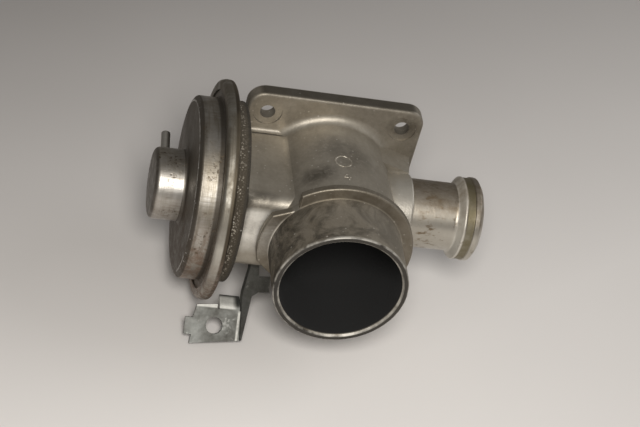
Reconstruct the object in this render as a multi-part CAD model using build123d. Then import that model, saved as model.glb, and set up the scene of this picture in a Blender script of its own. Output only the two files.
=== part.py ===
from build123d import *
import os
from math import cos, radians, sin, sqrt

# Vacuum-operated EGR valve. X runs along the valve stem towards the exhaust gas inlet, Y runs along
# the air duct towards the manifold, Z is up. The origin is the duct axis on the manifold face. All mm.

# ---- air duct and manifold flange
flange_width = 80.4
flange_height = 79.0
flange_shift = 1.1
flange_thick = 6.4
flange_corner = 8.0
flange_edge = 1.4
bolt_pitch_x = 61.6
bolt_pitch_z = 59.0
bolt_hole_d = 6.8
spot_face_d = 13.0
spot_face_depth = 0.6
bore_d = 52.6
duct_wall = 3.0
stub_wall = 2.7
duct_length = 86.5
mouth_edge = 0.8
collar_front = 61.0
collar_thick = 3.0
collar_rise = 4.9
collar_notch = 20.5
collar_side = 8.2
collar_side_left = 13.0
collar_notch_side = 19.8
collar_tail_x = 25.6
collar_tail = 17.1
flange_blend = 4.0
groove_wall = 4.2
gasket_width = 3.0
gasket_depth = 2.2
collar_edge = 0.8
blend_margin = 0.6
bore_lap = 0.5

# ---- valve stem line and the casting round it
stem_back = 28.0
neck_half_height = 19.3
neck_front = 56.5
neck_back = 5.0
neck_round = 5.0
neck_blend = 5.0
neck_lap = 0.1
root_blend = 1.8
tie_half_height = 26.0
pad_face = 43.0
pad_thick = 5.7
pad_blend = 4.0
pad_margin = 1.7
pad_edge = 0.8
boss_wall = 1.8
boss_reach = 9.2
web_start = 5.0
web_knee = 18.0
web_top_inner = 21.0
web_top_outer = 14.8
web_past_boss = 1.5
web_front = 19.5
web_inset = 0.5
boss_edge = 1.0

# ---- exhaust gas inlet pipe
pipe_d = 30.8
pipe_wall = 1.6
pipe_edge = 0.4
pipe_end = 68.0
vee_foot = 56.6
vee_top = 59.3
vee_rise = 3.6
vee_lip = 1.0
vee_groove = 0.5
vee_groove_width = 3.2
vee_foot_round = 2.0
vee_top_round = 0.8
vee_groove_round = 0.3
vee_end_round = 1.2
mouth_round = 1.0
vee_edge = 0.2

# ---- poppet valve
seat_inset = 1.7
seat_thick = 3.0
seat_bore_d = 22.4
seat_edge = 0.3
seat_land = 1.4
seat_flare = 1.6
throat_gap = 1.0
poppet_overlap = 1.3
poppet_thick = 3.0
poppet_hub_wall = 1.6
poppet_hub_rise = 2.0
poppet_rim_width = 3.0
poppet_rim_rise = 1.2
poppet_dish_round = 2.0
rivet_thick = 1.3
rivet_d = 7.6
rivet_edge = 0.5
tenon_d = 4.4
stem_d = 6.0
stem_edge = 0.2
stem_room = 0.8
thread_proud = 1.2
thread_edge = 0.6
running_gap = 0.04
slip_gap = 0.02

# ---- stem guide and seal
guide_d = 12.0
guide_reach = 1.3
guide_edge = 0.4
shield_d = 17.0
shield_wall = 0.8
shield_depth = 4.0
shield_round = 1.2
shield_flare = 0.4
seal_d = 13.0
seal_pocket = 6.7
seal_thick = 3.5
seal_edge = 0.4
seal_lip_room = 1.6
retainer_wall = 0.8
retainer_d = 17.0
retainer_recess = 1.2
retainer_room = 0.5
retainer_edge = 0.3
retainer_bend = 0.5

# ---- vacuum can
can_gasket_thick = 0.4
can_gasket_margin = 3.0
can_gasket_hole_gap = 0.3
rim_sheet = 1.0
shell_hole_margin = 1.0
shell_bend = 0.8
shell_lean = 0.4
shell_screw_gap = 0.2
rim_lip = 1.0
ring_wall = 1.5
ring_cover = 3.4
ring_edge = 0.3
ring_near_round = 1.2
ring_crest_round = 3.0
ring_far_round = 1.9
ring_near_lean = 0.2
ring_far_lean = 0.8
shell_flange_d = 94.6
step_ledge = 5.3
shell_step = 1.1
diaphragm_thick = 1.4
sheet = 1.2
drum_ledge = 7.0
drum_height = 9.9
drum_edge = 1.4
drum_foot_round = 1.0
shoulder_round = 1.6
dome_round = 1.2
shoulder_width = 2.3
shoulder_rise = 1.3
dome_rise = 0.6
cap_d = 31.7
cap_height = 14.0
cap_round = 2.5
cap_foot_width = 1.9
cap_foot_rise = 0.4
cap_foot_round = 1.2
plate_gap = 2.4
plate_thick = 1.0
roll_room = 12.3
plate_dish = 1.4
plate_edge = 0.4
plate_bend = 0.5
plate_lean = 0.6
spring_gap = 0.3
membrane_thick = 1.2
roll_depth = 6.0
roll_gap_outer = 0.5
roll_gap_inner = 0.6
roll_round = 2.4
roll_edge_round = 0.4
roll_foot_round = 0.5
spring_mean_d = 23.6
spring_wire_d = 1.8
spring_turns = 5.5
stem_thread_d = 5.0
nut_flats = 8.0
nut_thick = 4.0
nut_corner_share = 0.58
nut_bevel = 0.6
washer_d = 11.0
washer_thick = 1.0
washer_edge = 0.2

# ---- vacuum nipple
nipple_d = 4.1
nipple_bore_d = 1.9
nipple_from_end = 5.6
nipple_length = 10.3
nipple_tip_round = 0.8
nipple_bore_edge = 0.3
nipple_collar_d = 6.2
nipple_collar_length = 0.8
nipple_tilt = 22.0

# ---- can screws
can_screw_d = 4.0
can_screw_circle_d = 30.0
can_screw_length = 12.0
can_screw_head_d = 7.0
can_screw_head = 1.6
can_screw_slot = 1.0
can_screw_count = 3

# ---- hose bracket and its screws
bracket_sheet = 2.0
bracket_tilt = 38.0
bracket_turn = 25.0
bracket_x = -31.4
bracket_front = 48.2
bracket_drop = 21.5
bracket_hole_d = 7.4
bracket_hole_x = 13.6
bracket_hole_drop = 30.1
bend_top_x = 2.9
bend_top_drop = 19.6
bend_low_x = 1.9
bend_low_drop = 35.7
plate_low_x = 23.9
plate_low_drop = 38.9
plate_top_x = 22.1
plate_top_drop = 21.5
ear_x = 26.7
ear_root_x = 23.4
ear_low_drop = 34.9
ear_top_drop = 27.3
shelf_depth = 6.5
shelf_bend = 3.0
shelf_left = 12.1
shelf_right = 3.1
shelf_drop = 20.5
arm_low_x = 0.8
arm_waist_x = 5.2
arm_waist = 3.5
arm_right_x = 8.4
arm_top = 26.0
arm_top_x = 4.0
arm_bend_x = 3.6
arm_bend = 16.4
arm_left_x = 0.4
arm_left = 5.6
side_tab_end = 14.5
side_tab_low = 5.2
side_tab_top = 12.3
foot_back = 20.0
foot_left = 39.0
foot_right = 26.5
foot_right_front = 45.5
foot_left_front = 44.5
foot_nose_x = 29.8
foot_nose = 48.5
foot_tip_x = 32.6
foot_tip = 50.0
bracket_screw_d = 5.0
bracket_screw_length = 12.0
bracket_screw_flats = 8.0
bracket_screw_head = 3.5
bracket_washer_d = 10.0
bracket_washer_thick = 1.0
bracket_screw_x = 33.5
bracket_screw_front = 38.5
bracket_screw_pitch = 13.0
bracket_screw_gap = 0.25

# ---- values worked out from the sizes above
stem_y = -stem_back
duct_d = bore_d + 2 * duct_wall
hose_stub_d = bore_d + 2 * stub_wall
collar_d = duct_d + 2 * collar_rise
gasket_groove_d = bore_d + 2 * groove_wall + gasket_width
neck_corner = sqrt(neck_half_height ** 2 + (neck_front - stem_back) ** 2)
pad_d = 2 * (neck_corner + pad_blend + pad_margin)
pad_outer = pad_face + pad_thick
boss_d = pipe_d + 2 * boss_wall
boss_bore_d = pipe_d
boss_end = bore_d / 2 + boss_reach
web_reach = boss_end + web_past_boss
pipe_bore_d = pipe_d - 2 * pipe_wall
vee_d = pipe_d + 2 * vee_rise
seat_face = bore_d / 2 + seat_inset
poppet_d = seat_bore_d + 2 * poppet_overlap
throat_bore_d = poppet_d + 2 * throat_gap
guide_start = bore_d / 2 - guide_reach
guide_end = pad_outer - seal_pocket
seal_start = guide_end
rim_d = shell_flange_d + 2 * ring_wall
rim_lip_d = shell_flange_d - 2 * ring_cover
shell_step_d = shell_flange_d - 2 * step_ledge
drum_d = shell_flange_d - 2 * drum_ledge
shoulder_d = drum_d - 2 * shoulder_width
plate_d = drum_d - 2 * roll_room
lower_face = pad_outer + can_gasket_thick
lower_inner = lower_face + rim_sheet
flange_face = lower_face + shell_step
rim_lower = flange_face + rim_sheet
rim_upper = rim_lower + diaphragm_thick
rim_top = rim_upper + sheet
drum_end = rim_top + drum_height
shoulder_end = drum_end + shoulder_rise
dome_end = shoulder_end + dome_rise
cap_end = dome_end + cap_height
plate_start = lower_inner + plate_gap
membrane_start = plate_start + plate_thick
membrane_end = membrane_start + membrane_thick
plate_end = membrane_end + plate_thick
pipe_start = seat_face + seat_thick

stem_line = Axis((0, stem_y, 0), (1, 0, 0))
duct_line = Axis((0, 0, 0), (0, -1, 0))
# local x of stem_plane runs along +X and local y is the radius; duct_plane is the same along -Y
stem_plane = Plane(origin=(0, stem_y, 0), x_dir=(1, 0, 0), z_dir=(0, -1, 0))
duct_plane = Plane(origin=(0, 0, 0), x_dir=(0, -1, 0), z_dir=(-1, 0, 0))

up = (Align.CENTER, Align.CENTER, Align.MIN)


def rounded(corners):
    """Closed face from corners (a, b, radius), each rounded by its own radius."""
    points = [(a, b) for a, b, r in corners]
    radii = [r for a, b, r in corners]
    return make_face(FilletPolyline(*points, radius=radii, close=True))


def about_stem(corners):
    """Solid turned about the stem line from corners (x, radius, rounding)."""
    return revolve(stem_plane * rounded(corners), axis=stem_line)


def about_duct(corners):
    """Solid turned about the duct line from corners (distance from the flange, radius, rounding)."""
    return revolve(duct_plane * rounded(corners), axis=duct_line)


def ring_on_stem(x_from, x_to, outer_d, inner_d, edge=0.0):
    """Plain ring on the stem line, its outer edges rounded."""
    low, high = min(x_from, x_to), max(x_from, x_to)
    inner, outer = inner_d / 2, outer_d / 2
    return about_stem([(low, inner, 0), (low, outer, edge), (high, outer, edge), (high, inner, 0)])


def disc_on_stem(x_from, x_to, outer_d):
    """Plain cylinder on the stem line."""
    low, high = min(x_from, x_to), max(x_from, x_to)
    return Pos(low, stem_y, 0) * Rot(0, 90, 0) * Cylinder(
        outer_d / 2, high - low, align=up
    )


def sheet_outline(corners, wall):
    """Corners of a pressed sheet: the given outer face, then its inner face one wall to the left."""
    ends = len(corners) - 1
    runs = []
    for start, stop in zip(corners[:-1], corners[1:]):
        length = sqrt((stop[0] - start[0]) ** 2 + (stop[1] - start[1]) ** 2)
        runs.append(((stop[0] - start[0]) / length, (stop[1] - start[1]) / length))
    inner = []
    for i, (a, b, radius) in enumerate(corners):
        before = runs[max(i - 1, 0)]
        after = runs[min(i, ends - 1)]
        share = 1 + before[0] * after[0] + before[1] * after[1]
        shift_a = -(before[1] + after[1]) * wall / share
        shift_b = (before[0] + after[0]) * wall / share
        turn = before[0] * after[1] - before[1] * after[0]
        bend = radius - wall if turn > 0 else radius + wall
        inner.append((a + shift_a, b + shift_b, max(bend, 0) if radius > 0 else 0))
    return list(corners) + inner[::-1]


def screw(thread_d, length, head_shape, head_height):
    """Screw with its head below z = 0 and its plain shank above, both on the z axis."""
    shank = Cylinder(thread_d / 2, length, align=up)
    shank = chamfer(shank.edges().group_by(Axis.Z)[-1], thread_d / 8)
    head = extrude(head_shape, amount=-head_height)
    return head + shank


# ---- casting ---------------------------------------------------------------------------------
def flange_plate():
    """Manifold flange with a rounded front edge, set towards the can, and its tie to the pad."""
    outline = Pos(-flange_shift, 0) * RectangleRounded(flange_width, flange_height, flange_corner)
    plate = extrude(Plane.XZ * outline, amount=flange_thick)
    plate = fillet(plate.edges().group_by(Axis.Y)[0], flange_edge)
    low, high = -pad_face - 0.5 * pad_thick, -flange_shift - flange_width / 2 + flange_corner
    tie = Pos((low + high) / 2, -flange_thick, 0) * Box(
        high - low, flange_thick - 1, 2 * tie_half_height,
        align=(Align.CENTER, Align.MIN, Align.CENTER),
    )
    return plate + tie


def duct_tube():
    """Air duct, its blend into the flange, the hose stub in front and its machined mouth."""
    bore, duct, stub = bore_d / 2, duct_d / 2, hose_stub_d / 2
    foot = duct + flange_blend + blend_margin
    return about_duct([
        (1.0, bore - bore_lap, 0),
        (1.0, foot, 0),
        (flange_thick, foot, 0),
        (flange_thick, duct, flange_blend),
        (collar_front - collar_thick, duct, 0),
        (collar_front, stub, 0),
        (duct_length, stub, stub_wall / 4),
        (duct_length, bore - bore_lap, 0),
    ])


def collar():
    """Thin collar round the upper part of the duct, notched at the neck and drawn in at both ends."""
    half = collar_d / 2
    keep = Polyline(
        (-collar_notch, half + 1), (half + 1, half + 1), (half + 1, -collar_side),
        (collar_tail_x, -collar_tail), (-collar_tail_x, -collar_tail), (-half - 1, -collar_side),
        (-half - 1, collar_side_left), (-collar_notch, collar_notch_side), close=True,
    )
    plate = extrude(Plane.XZ * (Circle(half) & make_face(keep)), amount=collar_thick)
    plate = Pos(0, -(collar_front - collar_thick), 0) * plate
    return fillet(plate.edges().group_by(Axis.Y)[0], collar_edge)


def neck():
    """Box-shaped neck that runs out of the duct with soft corners and spreads into the can pad."""
    box = Pos(-pad_face / 2, 0) * Rectangle(pad_face, 2 * neck_half_height)
    section = Circle(duct_d / 2 - neck_lap) + box
    inner_corners = [v for v in section.vertices() if -pad_face + 1 < v.X < 0]
    section = fillet(inner_corners, neck_blend)
    block = Pos(0, -neck_back, 0) * extrude(Plane.XZ * section, amount=neck_front - neck_back)
    rims = block.edges().group_by(Axis.Y)
    rims = [e for e in rims[0] + rims[-1] if e.center().X > -pad_face + 1]
    block = fillet(rims, neck_round)
    block += can_pad()
    return fillet([e for e in block.edges() if on_pad_face(e)], pad_blend)


def on_pad_face(edge):
    """True for the edges where the neck meets the pad's inner face."""
    box = edge.bounding_box()
    flat = abs(box.min.X + pad_face) < 0.05 and abs(box.max.X + pad_face) < 0.05
    return flat and box.size.Z < 2 * neck_half_height + 1 and abs(edge.center().Z) < pad_d / 3


def can_pad():
    """Round cast pad that the vacuum can is screwed to."""
    outer = pad_d / 2
    return about_stem([
        (-pad_outer, 0, 0), (-pad_outer, outer, pad_edge), (-pad_face, outer, pad_edge),
        (-pad_face, 0, 0),
    ])


def root_strips():
    """Concave strips that soften the flange's corners with the neck and the pad, above and below."""
    low, high = -pad_face - 1, -sqrt((duct_d / 2) ** 2 - neck_half_height ** 2)
    corner = Polyline((0, 0), (root_blend, 0), (root_blend, root_blend), (0, root_blend), close=True)
    profile = make_face(corner) - Pos(root_blend, root_blend) * Circle(root_blend)
    start = Plane(origin=(low, -flange_thick, neck_half_height), x_dir=(0, 0, 1), z_dir=(1, 0, 0))
    top = Plane(origin=(-pad_face, -flange_thick, tie_half_height), x_dir=(1, 0, 0), z_dir=(0, 0, -1))
    strips = extrude(start * profile, amount=high - low)
    strips += extrude(top * profile, amount=tie_half_height - neck_half_height + 1)
    return strips + mirror(strips, about=Plane.XY)


def inlet_boss():
    """Round boss for the inlet pipe, with the web that ties it to the flange."""
    boss = ring_on_stem(web_start, boss_end, boss_d, boss_wall, boss_edge)
    side = Polyline(
        (web_start, web_top_inner), (web_knee, web_top_inner), (web_reach, web_top_outer),
        (web_reach, -web_top_outer), (web_knee, -web_top_inner), (web_start, -web_top_inner),
        close=True,
    )
    tip = boss_end - web_inset
    above = Polyline(
        (web_start, -1), (web_reach, -1), (web_reach, -flange_thick), (tip, -web_front),
        (web_start, -web_front), close=True,
    )
    web = extrude(Plane.XZ * make_face(side), amount=stem_back)
    web = web & extrude(make_face(above), amount=web_top_inner + 1, both=True)
    return boss + web


def valve_body():
    """The one aluminium casting: flange, duct, neck, pad and inlet boss, with every machined bore."""
    body = neck() + duct_tube() + flange_plate() + root_strips() + collar() + inlet_boss()
    mouth = bore_d / 2 + mouth_edge
    bore = about_duct([
        (-1.0, 0, 0), (-1.0, bore_d / 2, 0), (duct_length - mouth_edge, bore_d / 2, 0),
        (duct_length, mouth, 0), (duct_length + 1, mouth, 0), (duct_length + 1, 0, 0),
    ])
    body -= bore
    body -= disc_on_stem(web_start, seat_face, throat_bore_d)
    body -= disc_on_stem(seat_face, web_reach + 1, boss_bore_d)
    body -= disc_on_stem(-guide_end, -web_start, guide_d)
    body -= disc_on_stem(-pad_outer - 1, -seal_start, seal_d)
    body -= disc_on_stem(-pad_outer - 1, -pad_outer + retainer_recess, retainer_d + 2 * retainer_room)
    for spot in bolt_spots():
        body -= spot * Cylinder(bolt_hole_d / 2, 4 * flange_thick)
        body -= spot * Pos(0, 0, flange_thick - spot_face_depth) * Cylinder(
            spot_face_d / 2, flange_thick, align=up
        )
    for spot in can_screw_spots():
        body -= spot * Cylinder(
            can_screw_d / 2, can_screw_length + 1, align=up
        )
    for spot in bracket_screw_spots():
        body -= spot * Cylinder(
            bracket_screw_d / 2, bracket_screw_length, align=up
        )
    return body - gasket_ring(-1.0)


def bolt_spots():
    """The four manifold bolt places, each with local z towards the front."""
    across, height = bolt_pitch_x / 2, bolt_pitch_z / 2
    return [
        Plane(origin=(x - flange_shift, 0, z), x_dir=(1, 0, 0), z_dir=(0, -1, 0)).location
        for x in (-across, across) for z in (-height, height)
    ]


def can_screw_spots():
    """Can screw places on the lower shell's inner face, local z into the casting."""
    spots = []
    for i in range(can_screw_count):
        angle = radians(90 + 360 * i / can_screw_count)
        y = stem_y + can_screw_circle_d / 2 * cos(angle)
        z = can_screw_circle_d / 2 * sin(angle)
        spots.append(Plane(origin=(-lower_inner, y, z), x_dir=(0, 1, 0), z_dir=(1, 0, 0)).location)
    return spots


# ---- gasket, pipe, seat and valve --------------------------------------------------------------
def gasket_ring(start):
    """Ring round the duct, from the given distance in front of the manifold face to its groove."""
    inner = (gasket_groove_d - gasket_width) / 2
    outer = (gasket_groove_d + gasket_width) / 2
    return about_duct([
        (start, inner, 0), (start, outer, 0), (gasket_depth, outer, 0), (gasket_depth, inner, 0),
    ])


def manifold_gasket():
    """Rubber ring in the groove of the manifold face."""
    return gasket_ring(0)


def inlet_pipe():
    """Pipe pressed into the boss against the seat, with a rounded clamp flange at its end."""
    bore, tube, vee = pipe_bore_d / 2, pipe_d / 2, vee_d / 2
    groove_start = vee_top + vee_lip
    groove_end = groove_start + vee_groove_width
    return about_stem([
        (pipe_start, bore, pipe_edge),
        (pipe_start, tube, pipe_edge),
        (vee_foot, tube, vee_foot_round),
        (vee_top, vee, vee_top_round),
        (groove_start, vee - vee_groove, vee_groove_round),
        (groove_end, vee - vee_groove, vee_groove_round),
        (groove_end + vee_groove, vee, vee_edge),
        (pipe_end - vee_rise / 2, vee, vee_end_round),
        (pipe_end, 0.5 * (vee + bore), mouth_round),
        (pipe_end, bore, vee_top_round),
    ])


def valve_seat():
    """Seat ring held between the casting's shoulder and the inlet pipe."""
    seat, outer = seat_bore_d / 2, boss_bore_d / 2
    return about_stem([
        (seat_face, seat, seat_edge), (seat_face, outer, seat_edge),
        (pipe_start, outer, seat_edge), (pipe_start, seat + seat_flare, 0),
        (seat_face + seat_land, seat, 0),
    ])


def poppet_disc():
    """Poppet that closes on the duct side of the seat, dished towards its stem."""
    outer = poppet_d / 2
    hole = tenon_d / 2 + slip_gap
    back = seat_face - poppet_thick
    hub = back - poppet_hub_rise
    return about_stem([
        (hub, hole + poppet_hub_wall, 0.5), (back, outer - poppet_rim_width, poppet_dish_round),
        (back + poppet_rim_rise, outer, seat_edge), (seat_face, outer, seat_edge),
        (seat_face, hole, 0), (hub, hole, 0),
    ])


def valve_stem():
    """Stem with a riveted tenon for the poppet and a thread for the diaphragm plates."""
    poppet_back = seat_face - poppet_thick - poppet_hub_rise
    thread_end = plate_end + washer_thick + nut_thick + thread_proud
    rod, tenon, thread = stem_d / 2, tenon_d / 2, stem_thread_d / 2
    rivet, rivet_end = rivet_d / 2, seat_face + rivet_thick
    return about_stem([
        (-thread_end, 0, 0), (-thread_end, thread, thread_edge), (-plate_start, thread, 0),
        (-plate_start, rod, stem_edge), (poppet_back, rod, stem_edge), (poppet_back, tenon, 0),
        (seat_face, tenon, 0), (seat_face, rivet, rivet_edge),
        (rivet_end, rivet - rivet_edge, rivet_edge), (rivet_end, 0, 0),
    ])


def guide_bush():
    """Plain bush that guides the stem through the neck."""
    return ring_on_stem(-guide_end, -guide_start, guide_d, stem_d + 2 * running_gap, guide_edge)


def guide_shield():
    """Thin cup on the duct end of the bush that keeps soot off the stem."""
    hole = stem_d / 2 + stem_room
    side = shield_d / 2
    start = -guide_start
    return about_stem(sheet_outline([
        (start, hole, 0), (start, side, shield_round), (start + shield_depth, side + shield_flare, 0)
    ], -shield_wall))


def stem_seal():
    """Rubber seal that keeps exhaust gas out of the can."""
    rod = stem_d / 2 + running_gap
    back = -(seal_start + seal_thick)
    return about_stem([
        (back, rod, 0), (back, seal_d / 2, seal_edge), (-seal_start, seal_d / 2, seal_edge),
        (-seal_start, rod + seal_lip_room, seal_edge), (-seal_start - 0.5 * seal_thick, rod, 0),
    ])


def seal_retainer():
    """Pressed cap that holds the stem seal down in its pocket."""
    hole = stem_d / 2 + stem_room
    wall = retainer_wall
    seat = -(seal_start + seal_thick)
    lip = -pad_outer + retainer_recess
    outer, rim = seal_d / 2 - slip_gap, retainer_d / 2
    return about_stem([
        (seat, hole, 0), (seat, outer, 0), (lip, outer, 0), (lip, rim, retainer_edge),
        (lip - wall, rim, retainer_edge), (lip - wall, outer - wall, retainer_bend),
        (seat - wall, outer - wall, retainer_edge), (seat - wall, hole, 0),
    ])


# ---- vacuum can --------------------------------------------------------------------------------
def can_gasket():
    """Flat gasket between the casting and the can."""
    outer_d, inner_d = shell_step_d - 2 * can_gasket_margin, retainer_d + can_gasket_margin
    gasket = ring_on_stem(-lower_face, -pad_outer, outer_d, inner_d)
    for spot in can_screw_spots():
        gasket -= spot * Cylinder(can_screw_d / 2 + can_gasket_hole_gap, 2 * can_screw_length)
    return gasket


def lower_shell():
    """Lower half of the can: a pressed dish with a raised rim and three screw holes."""
    step = shell_step_d / 2
    hole = retainer_d / 2 + shell_hole_margin
    rise, rim = step + shell_step, shell_flange_d / 2
    shell = about_stem([
        (-lower_face, hole, 0), (-lower_face, step, shell_bend), (-flange_face, rise, shell_bend),
        (-flange_face, rim, 0), (-rim_lower, rim, 0), (-rim_lower, rise - shell_lean, shell_bend),
        (-lower_inner, step - shell_lean, shell_bend), (-lower_inner, hole, 0),
    ])
    for spot in can_screw_spots():
        shell -= spot * Cylinder(can_screw_d / 2 + shell_screw_gap, 2 * can_screw_length)
    return shell


def can_screws():
    """Low-head screws that hold the can to the casting."""
    one = screw(can_screw_d, can_screw_length, Circle(can_screw_head_d / 2), can_screw_head)
    one -= Pos(0, 0, -can_screw_head) * Box(can_screw_slot, 2 * can_screw_head_d, can_screw_slot)
    return Compound(children=[spot * one for spot in can_screw_spots()])


def upper_shell():
    """Upper half of the can: clamped flange, drum, sloping dome and spring cap in one pressing."""
    shell = about_stem(sheet_outline([
        (-rim_top, shell_flange_d / 2, 0),
        (-rim_top, drum_d / 2, drum_foot_round),
        (-drum_end, drum_d / 2, drum_edge),
        (-shoulder_end, shoulder_d / 2, shoulder_round),
        (-dome_end, cap_d / 2 + cap_foot_width, dome_round),
        (-dome_end - cap_foot_rise, cap_d / 2, cap_foot_round),
        (-cap_end, cap_d / 2, cap_round),
        (-cap_end, 0, 0),
    ], sheet))
    return shell - nipple_plane() * Cylinder(nipple_d / 2 + slip_gap, cap_d, align=up)


def crimp_ring():
    """Rolled clamp ring that holds both shells and the edge of the diaphragm."""
    lip, outer = rim_lip_d / 2, rim_d / 2
    inner = shell_flange_d / 2 + slip_gap
    near, far = -flange_face + rim_lip, -rim_top - rim_lip
    return about_stem([
        (near, lip, ring_edge), (near, outer - ring_near_lean, ring_near_round),
        (0.5 * (near + far), outer, ring_crest_round), (far, outer - ring_far_lean, ring_far_round),
        (far, lip, ring_edge), (-rim_top, lip, ring_edge), (-rim_top, inner, 0),
        (-flange_face, inner, 0), (-flange_face, lip, ring_edge),
    ])


def diaphragm():
    """Rubber diaphragm: clamped edge, one rolled fold and the centre between the plates."""
    edge, centre = shell_flange_d / 2, plate_d / 2
    hole = stem_thread_d / 2 + slip_gap
    fold_out, fold_in = drum_d / 2 - sheet - roll_gap_outer, centre + roll_gap_inner
    top = -rim_upper - roll_depth
    wall = membrane_thick
    return about_stem([
        (-rim_lower, edge, 0), (-rim_upper, edge, 0), (-rim_upper, fold_out, roll_edge_round),
        (top, fold_out, roll_round), (top, fold_in, roll_round),
        (-membrane_end, fold_in, roll_foot_round), (-membrane_end, hole, 0),
        (-membrane_start, hole, 0), (-membrane_start, fold_in + wall, roll_foot_round),
        (top + wall, fold_in + wall, roll_round - wall),
        (top + wall, fold_out - wall, roll_round - wall),
        (-rim_lower, fold_out - wall, roll_edge_round),
    ])


def lower_plate():
    """Flat plate under the diaphragm, clamped against the stem's shoulder."""
    return ring_on_stem(-membrane_start, -plate_start, plate_d, stem_thread_d + 2 * slip_gap, plate_edge)


def upper_plate():
    """Plate on the spring side, with a raised ring that centres the spring."""
    ring = spring_mean_d / 2 - spring_wire_d / 2 - spring_gap
    hole = stem_thread_d / 2 + slip_gap
    wall = plate_thick
    return about_stem([
        (-membrane_end, hole, 0), (-membrane_end, plate_d / 2, plate_edge),
        (-plate_end, plate_d / 2, plate_edge), (-plate_end, ring, 0),
        (-plate_end - plate_dish, ring, plate_bend), (-plate_end - plate_dish, ring - wall, plate_bend),
        (-plate_end, ring - wall - plate_lean, 0), (-plate_end, hole, 0),
    ])


def stem_washer():
    """Washer under the stem nut."""
    hole = stem_thread_d + 2 * slip_gap
    return ring_on_stem(-plate_end - washer_thick, -plate_end, washer_d, hole, washer_edge)


def stem_nut():
    """Hexagon nut that clamps the plates to the stem."""
    start = plate_end + washer_thick
    face = RegularPolygon(nut_flats / 2, 6, major_radius=False) - Circle(stem_thread_d / 2 + slip_gap)
    nut = extrude(face, amount=nut_thick)
    corner = nut_corner_share * nut_flats
    across = about_z([
        (0, 0, 0), (0, nut_thick, 0), (nut_flats / 2, nut_thick, 0),
        (corner, nut_thick - nut_bevel, 0), (corner, 0, 0),
    ])
    return Pos(-start, stem_y, 0) * Rot(0, -90, 0) * (nut & across)


def about_z(corners):
    """Solid turned about the z axis from corners (radius, height, rounding)."""
    return revolve(Plane.XZ * rounded(corners), axis=Axis.Z)


def return_spring():
    """Helical spring from the upper plate to the end of the cap."""
    start = plate_end + spring_wire_d / 2
    stop = cap_end - sheet - spring_wire_d / 2
    height = stop - start
    path = Helix(height / spring_turns, height, spring_mean_d / 2)
    section = Plane(origin=path @ 0, z_dir=path % 0) * Circle(spring_wire_d / 2)
    coil = sweep(section, path=path, is_frenet=True)
    return Pos(-start, stem_y, 0) * Rot(0, -90, 0) * coil


def nipple_plane():
    """Plane across the nipple, its z axis from the cap's axis out along the nipple."""
    tilt = radians(nipple_tilt)
    middle = (-cap_end + nipple_from_end, stem_y, 0)
    return Plane(origin=middle, x_dir=(1, 0, 0), z_dir=(0, cos(tilt), sin(tilt)))


def vacuum_nipple():
    """Small tube brazed into the side of the cap for the vacuum hose."""
    foot = cap_d / 2 - sheet
    tip = cap_d / 2 + nipple_length
    outer, bore, collar = nipple_d / 2, nipple_bore_d / 2, nipple_collar_d / 2
    seat = cap_d / 2
    top = seat + nipple_collar_length
    tube = about_z([
        (bore, foot, 0), (outer, foot, 0), (outer, seat, 0), (collar, seat, 0),
        (collar, top, 0), (outer, top, 0), (outer, tip, nipple_tip_round), (bore, tip, nipple_bore_edge),
    ])
    return nipple_plane() * tube


# ---- hose bracket ------------------------------------------------------------------------------
def bracket_face():
    """Plane of the bracket's lower plate: local x to the right, local y up along the sheet."""
    tilt = radians(bracket_tilt)
    corner = (bracket_x, -bracket_front, -bracket_drop)
    return Plane(origin=corner, x_dir=(1, 0, 0), z_dir=(0, -cos(tilt), sin(tilt)))


def bracket_arm_plane():
    """Plane of the arm: the lower plate's plane turned back about their shared bend."""
    face = bracket_face()
    corner = face.from_local_coords(Vector(-bend_top_x, -bend_top_drop))
    low = face.from_local_coords(Vector(-bend_low_x, -bend_low_drop))
    along = (corner - low).normalized()
    across = along.cross(face.z_dir).rotate(Axis((0, 0, 0), along), bracket_turn)
    return Plane(origin=corner, x_dir=across, z_dir=across.cross(along))


def panel(plane, points):
    """Flat piece of the bracket's sheet about the given plane."""
    outline = make_face(Polyline(*points, close=True))
    return extrude(plane * outline, amount=bracket_sheet / 2, both=True)


def bracket_shelf():
    """Shelf turned back from the top edge of the lower plate through a rounded bend."""
    face = bracket_face()
    corner = face.from_local_coords(Vector(-shelf_left, -shelf_drop))
    side = Plane(origin=corner, x_dir=face.y_dir, z_dir=face.x_dir)
    lean = radians(90 - bracket_tilt)
    outer = bracket_sheet / 2
    lap = -shelf_bend - 1
    outline = sheet_outline([
        (lap, outer, 0), (0, outer, shelf_bend),
        (shelf_depth * cos(lean), outer - shelf_depth * sin(lean), 0),
    ], -bracket_sheet)
    return extrude(side * rounded(outline), amount=shelf_left - shelf_right)


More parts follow.
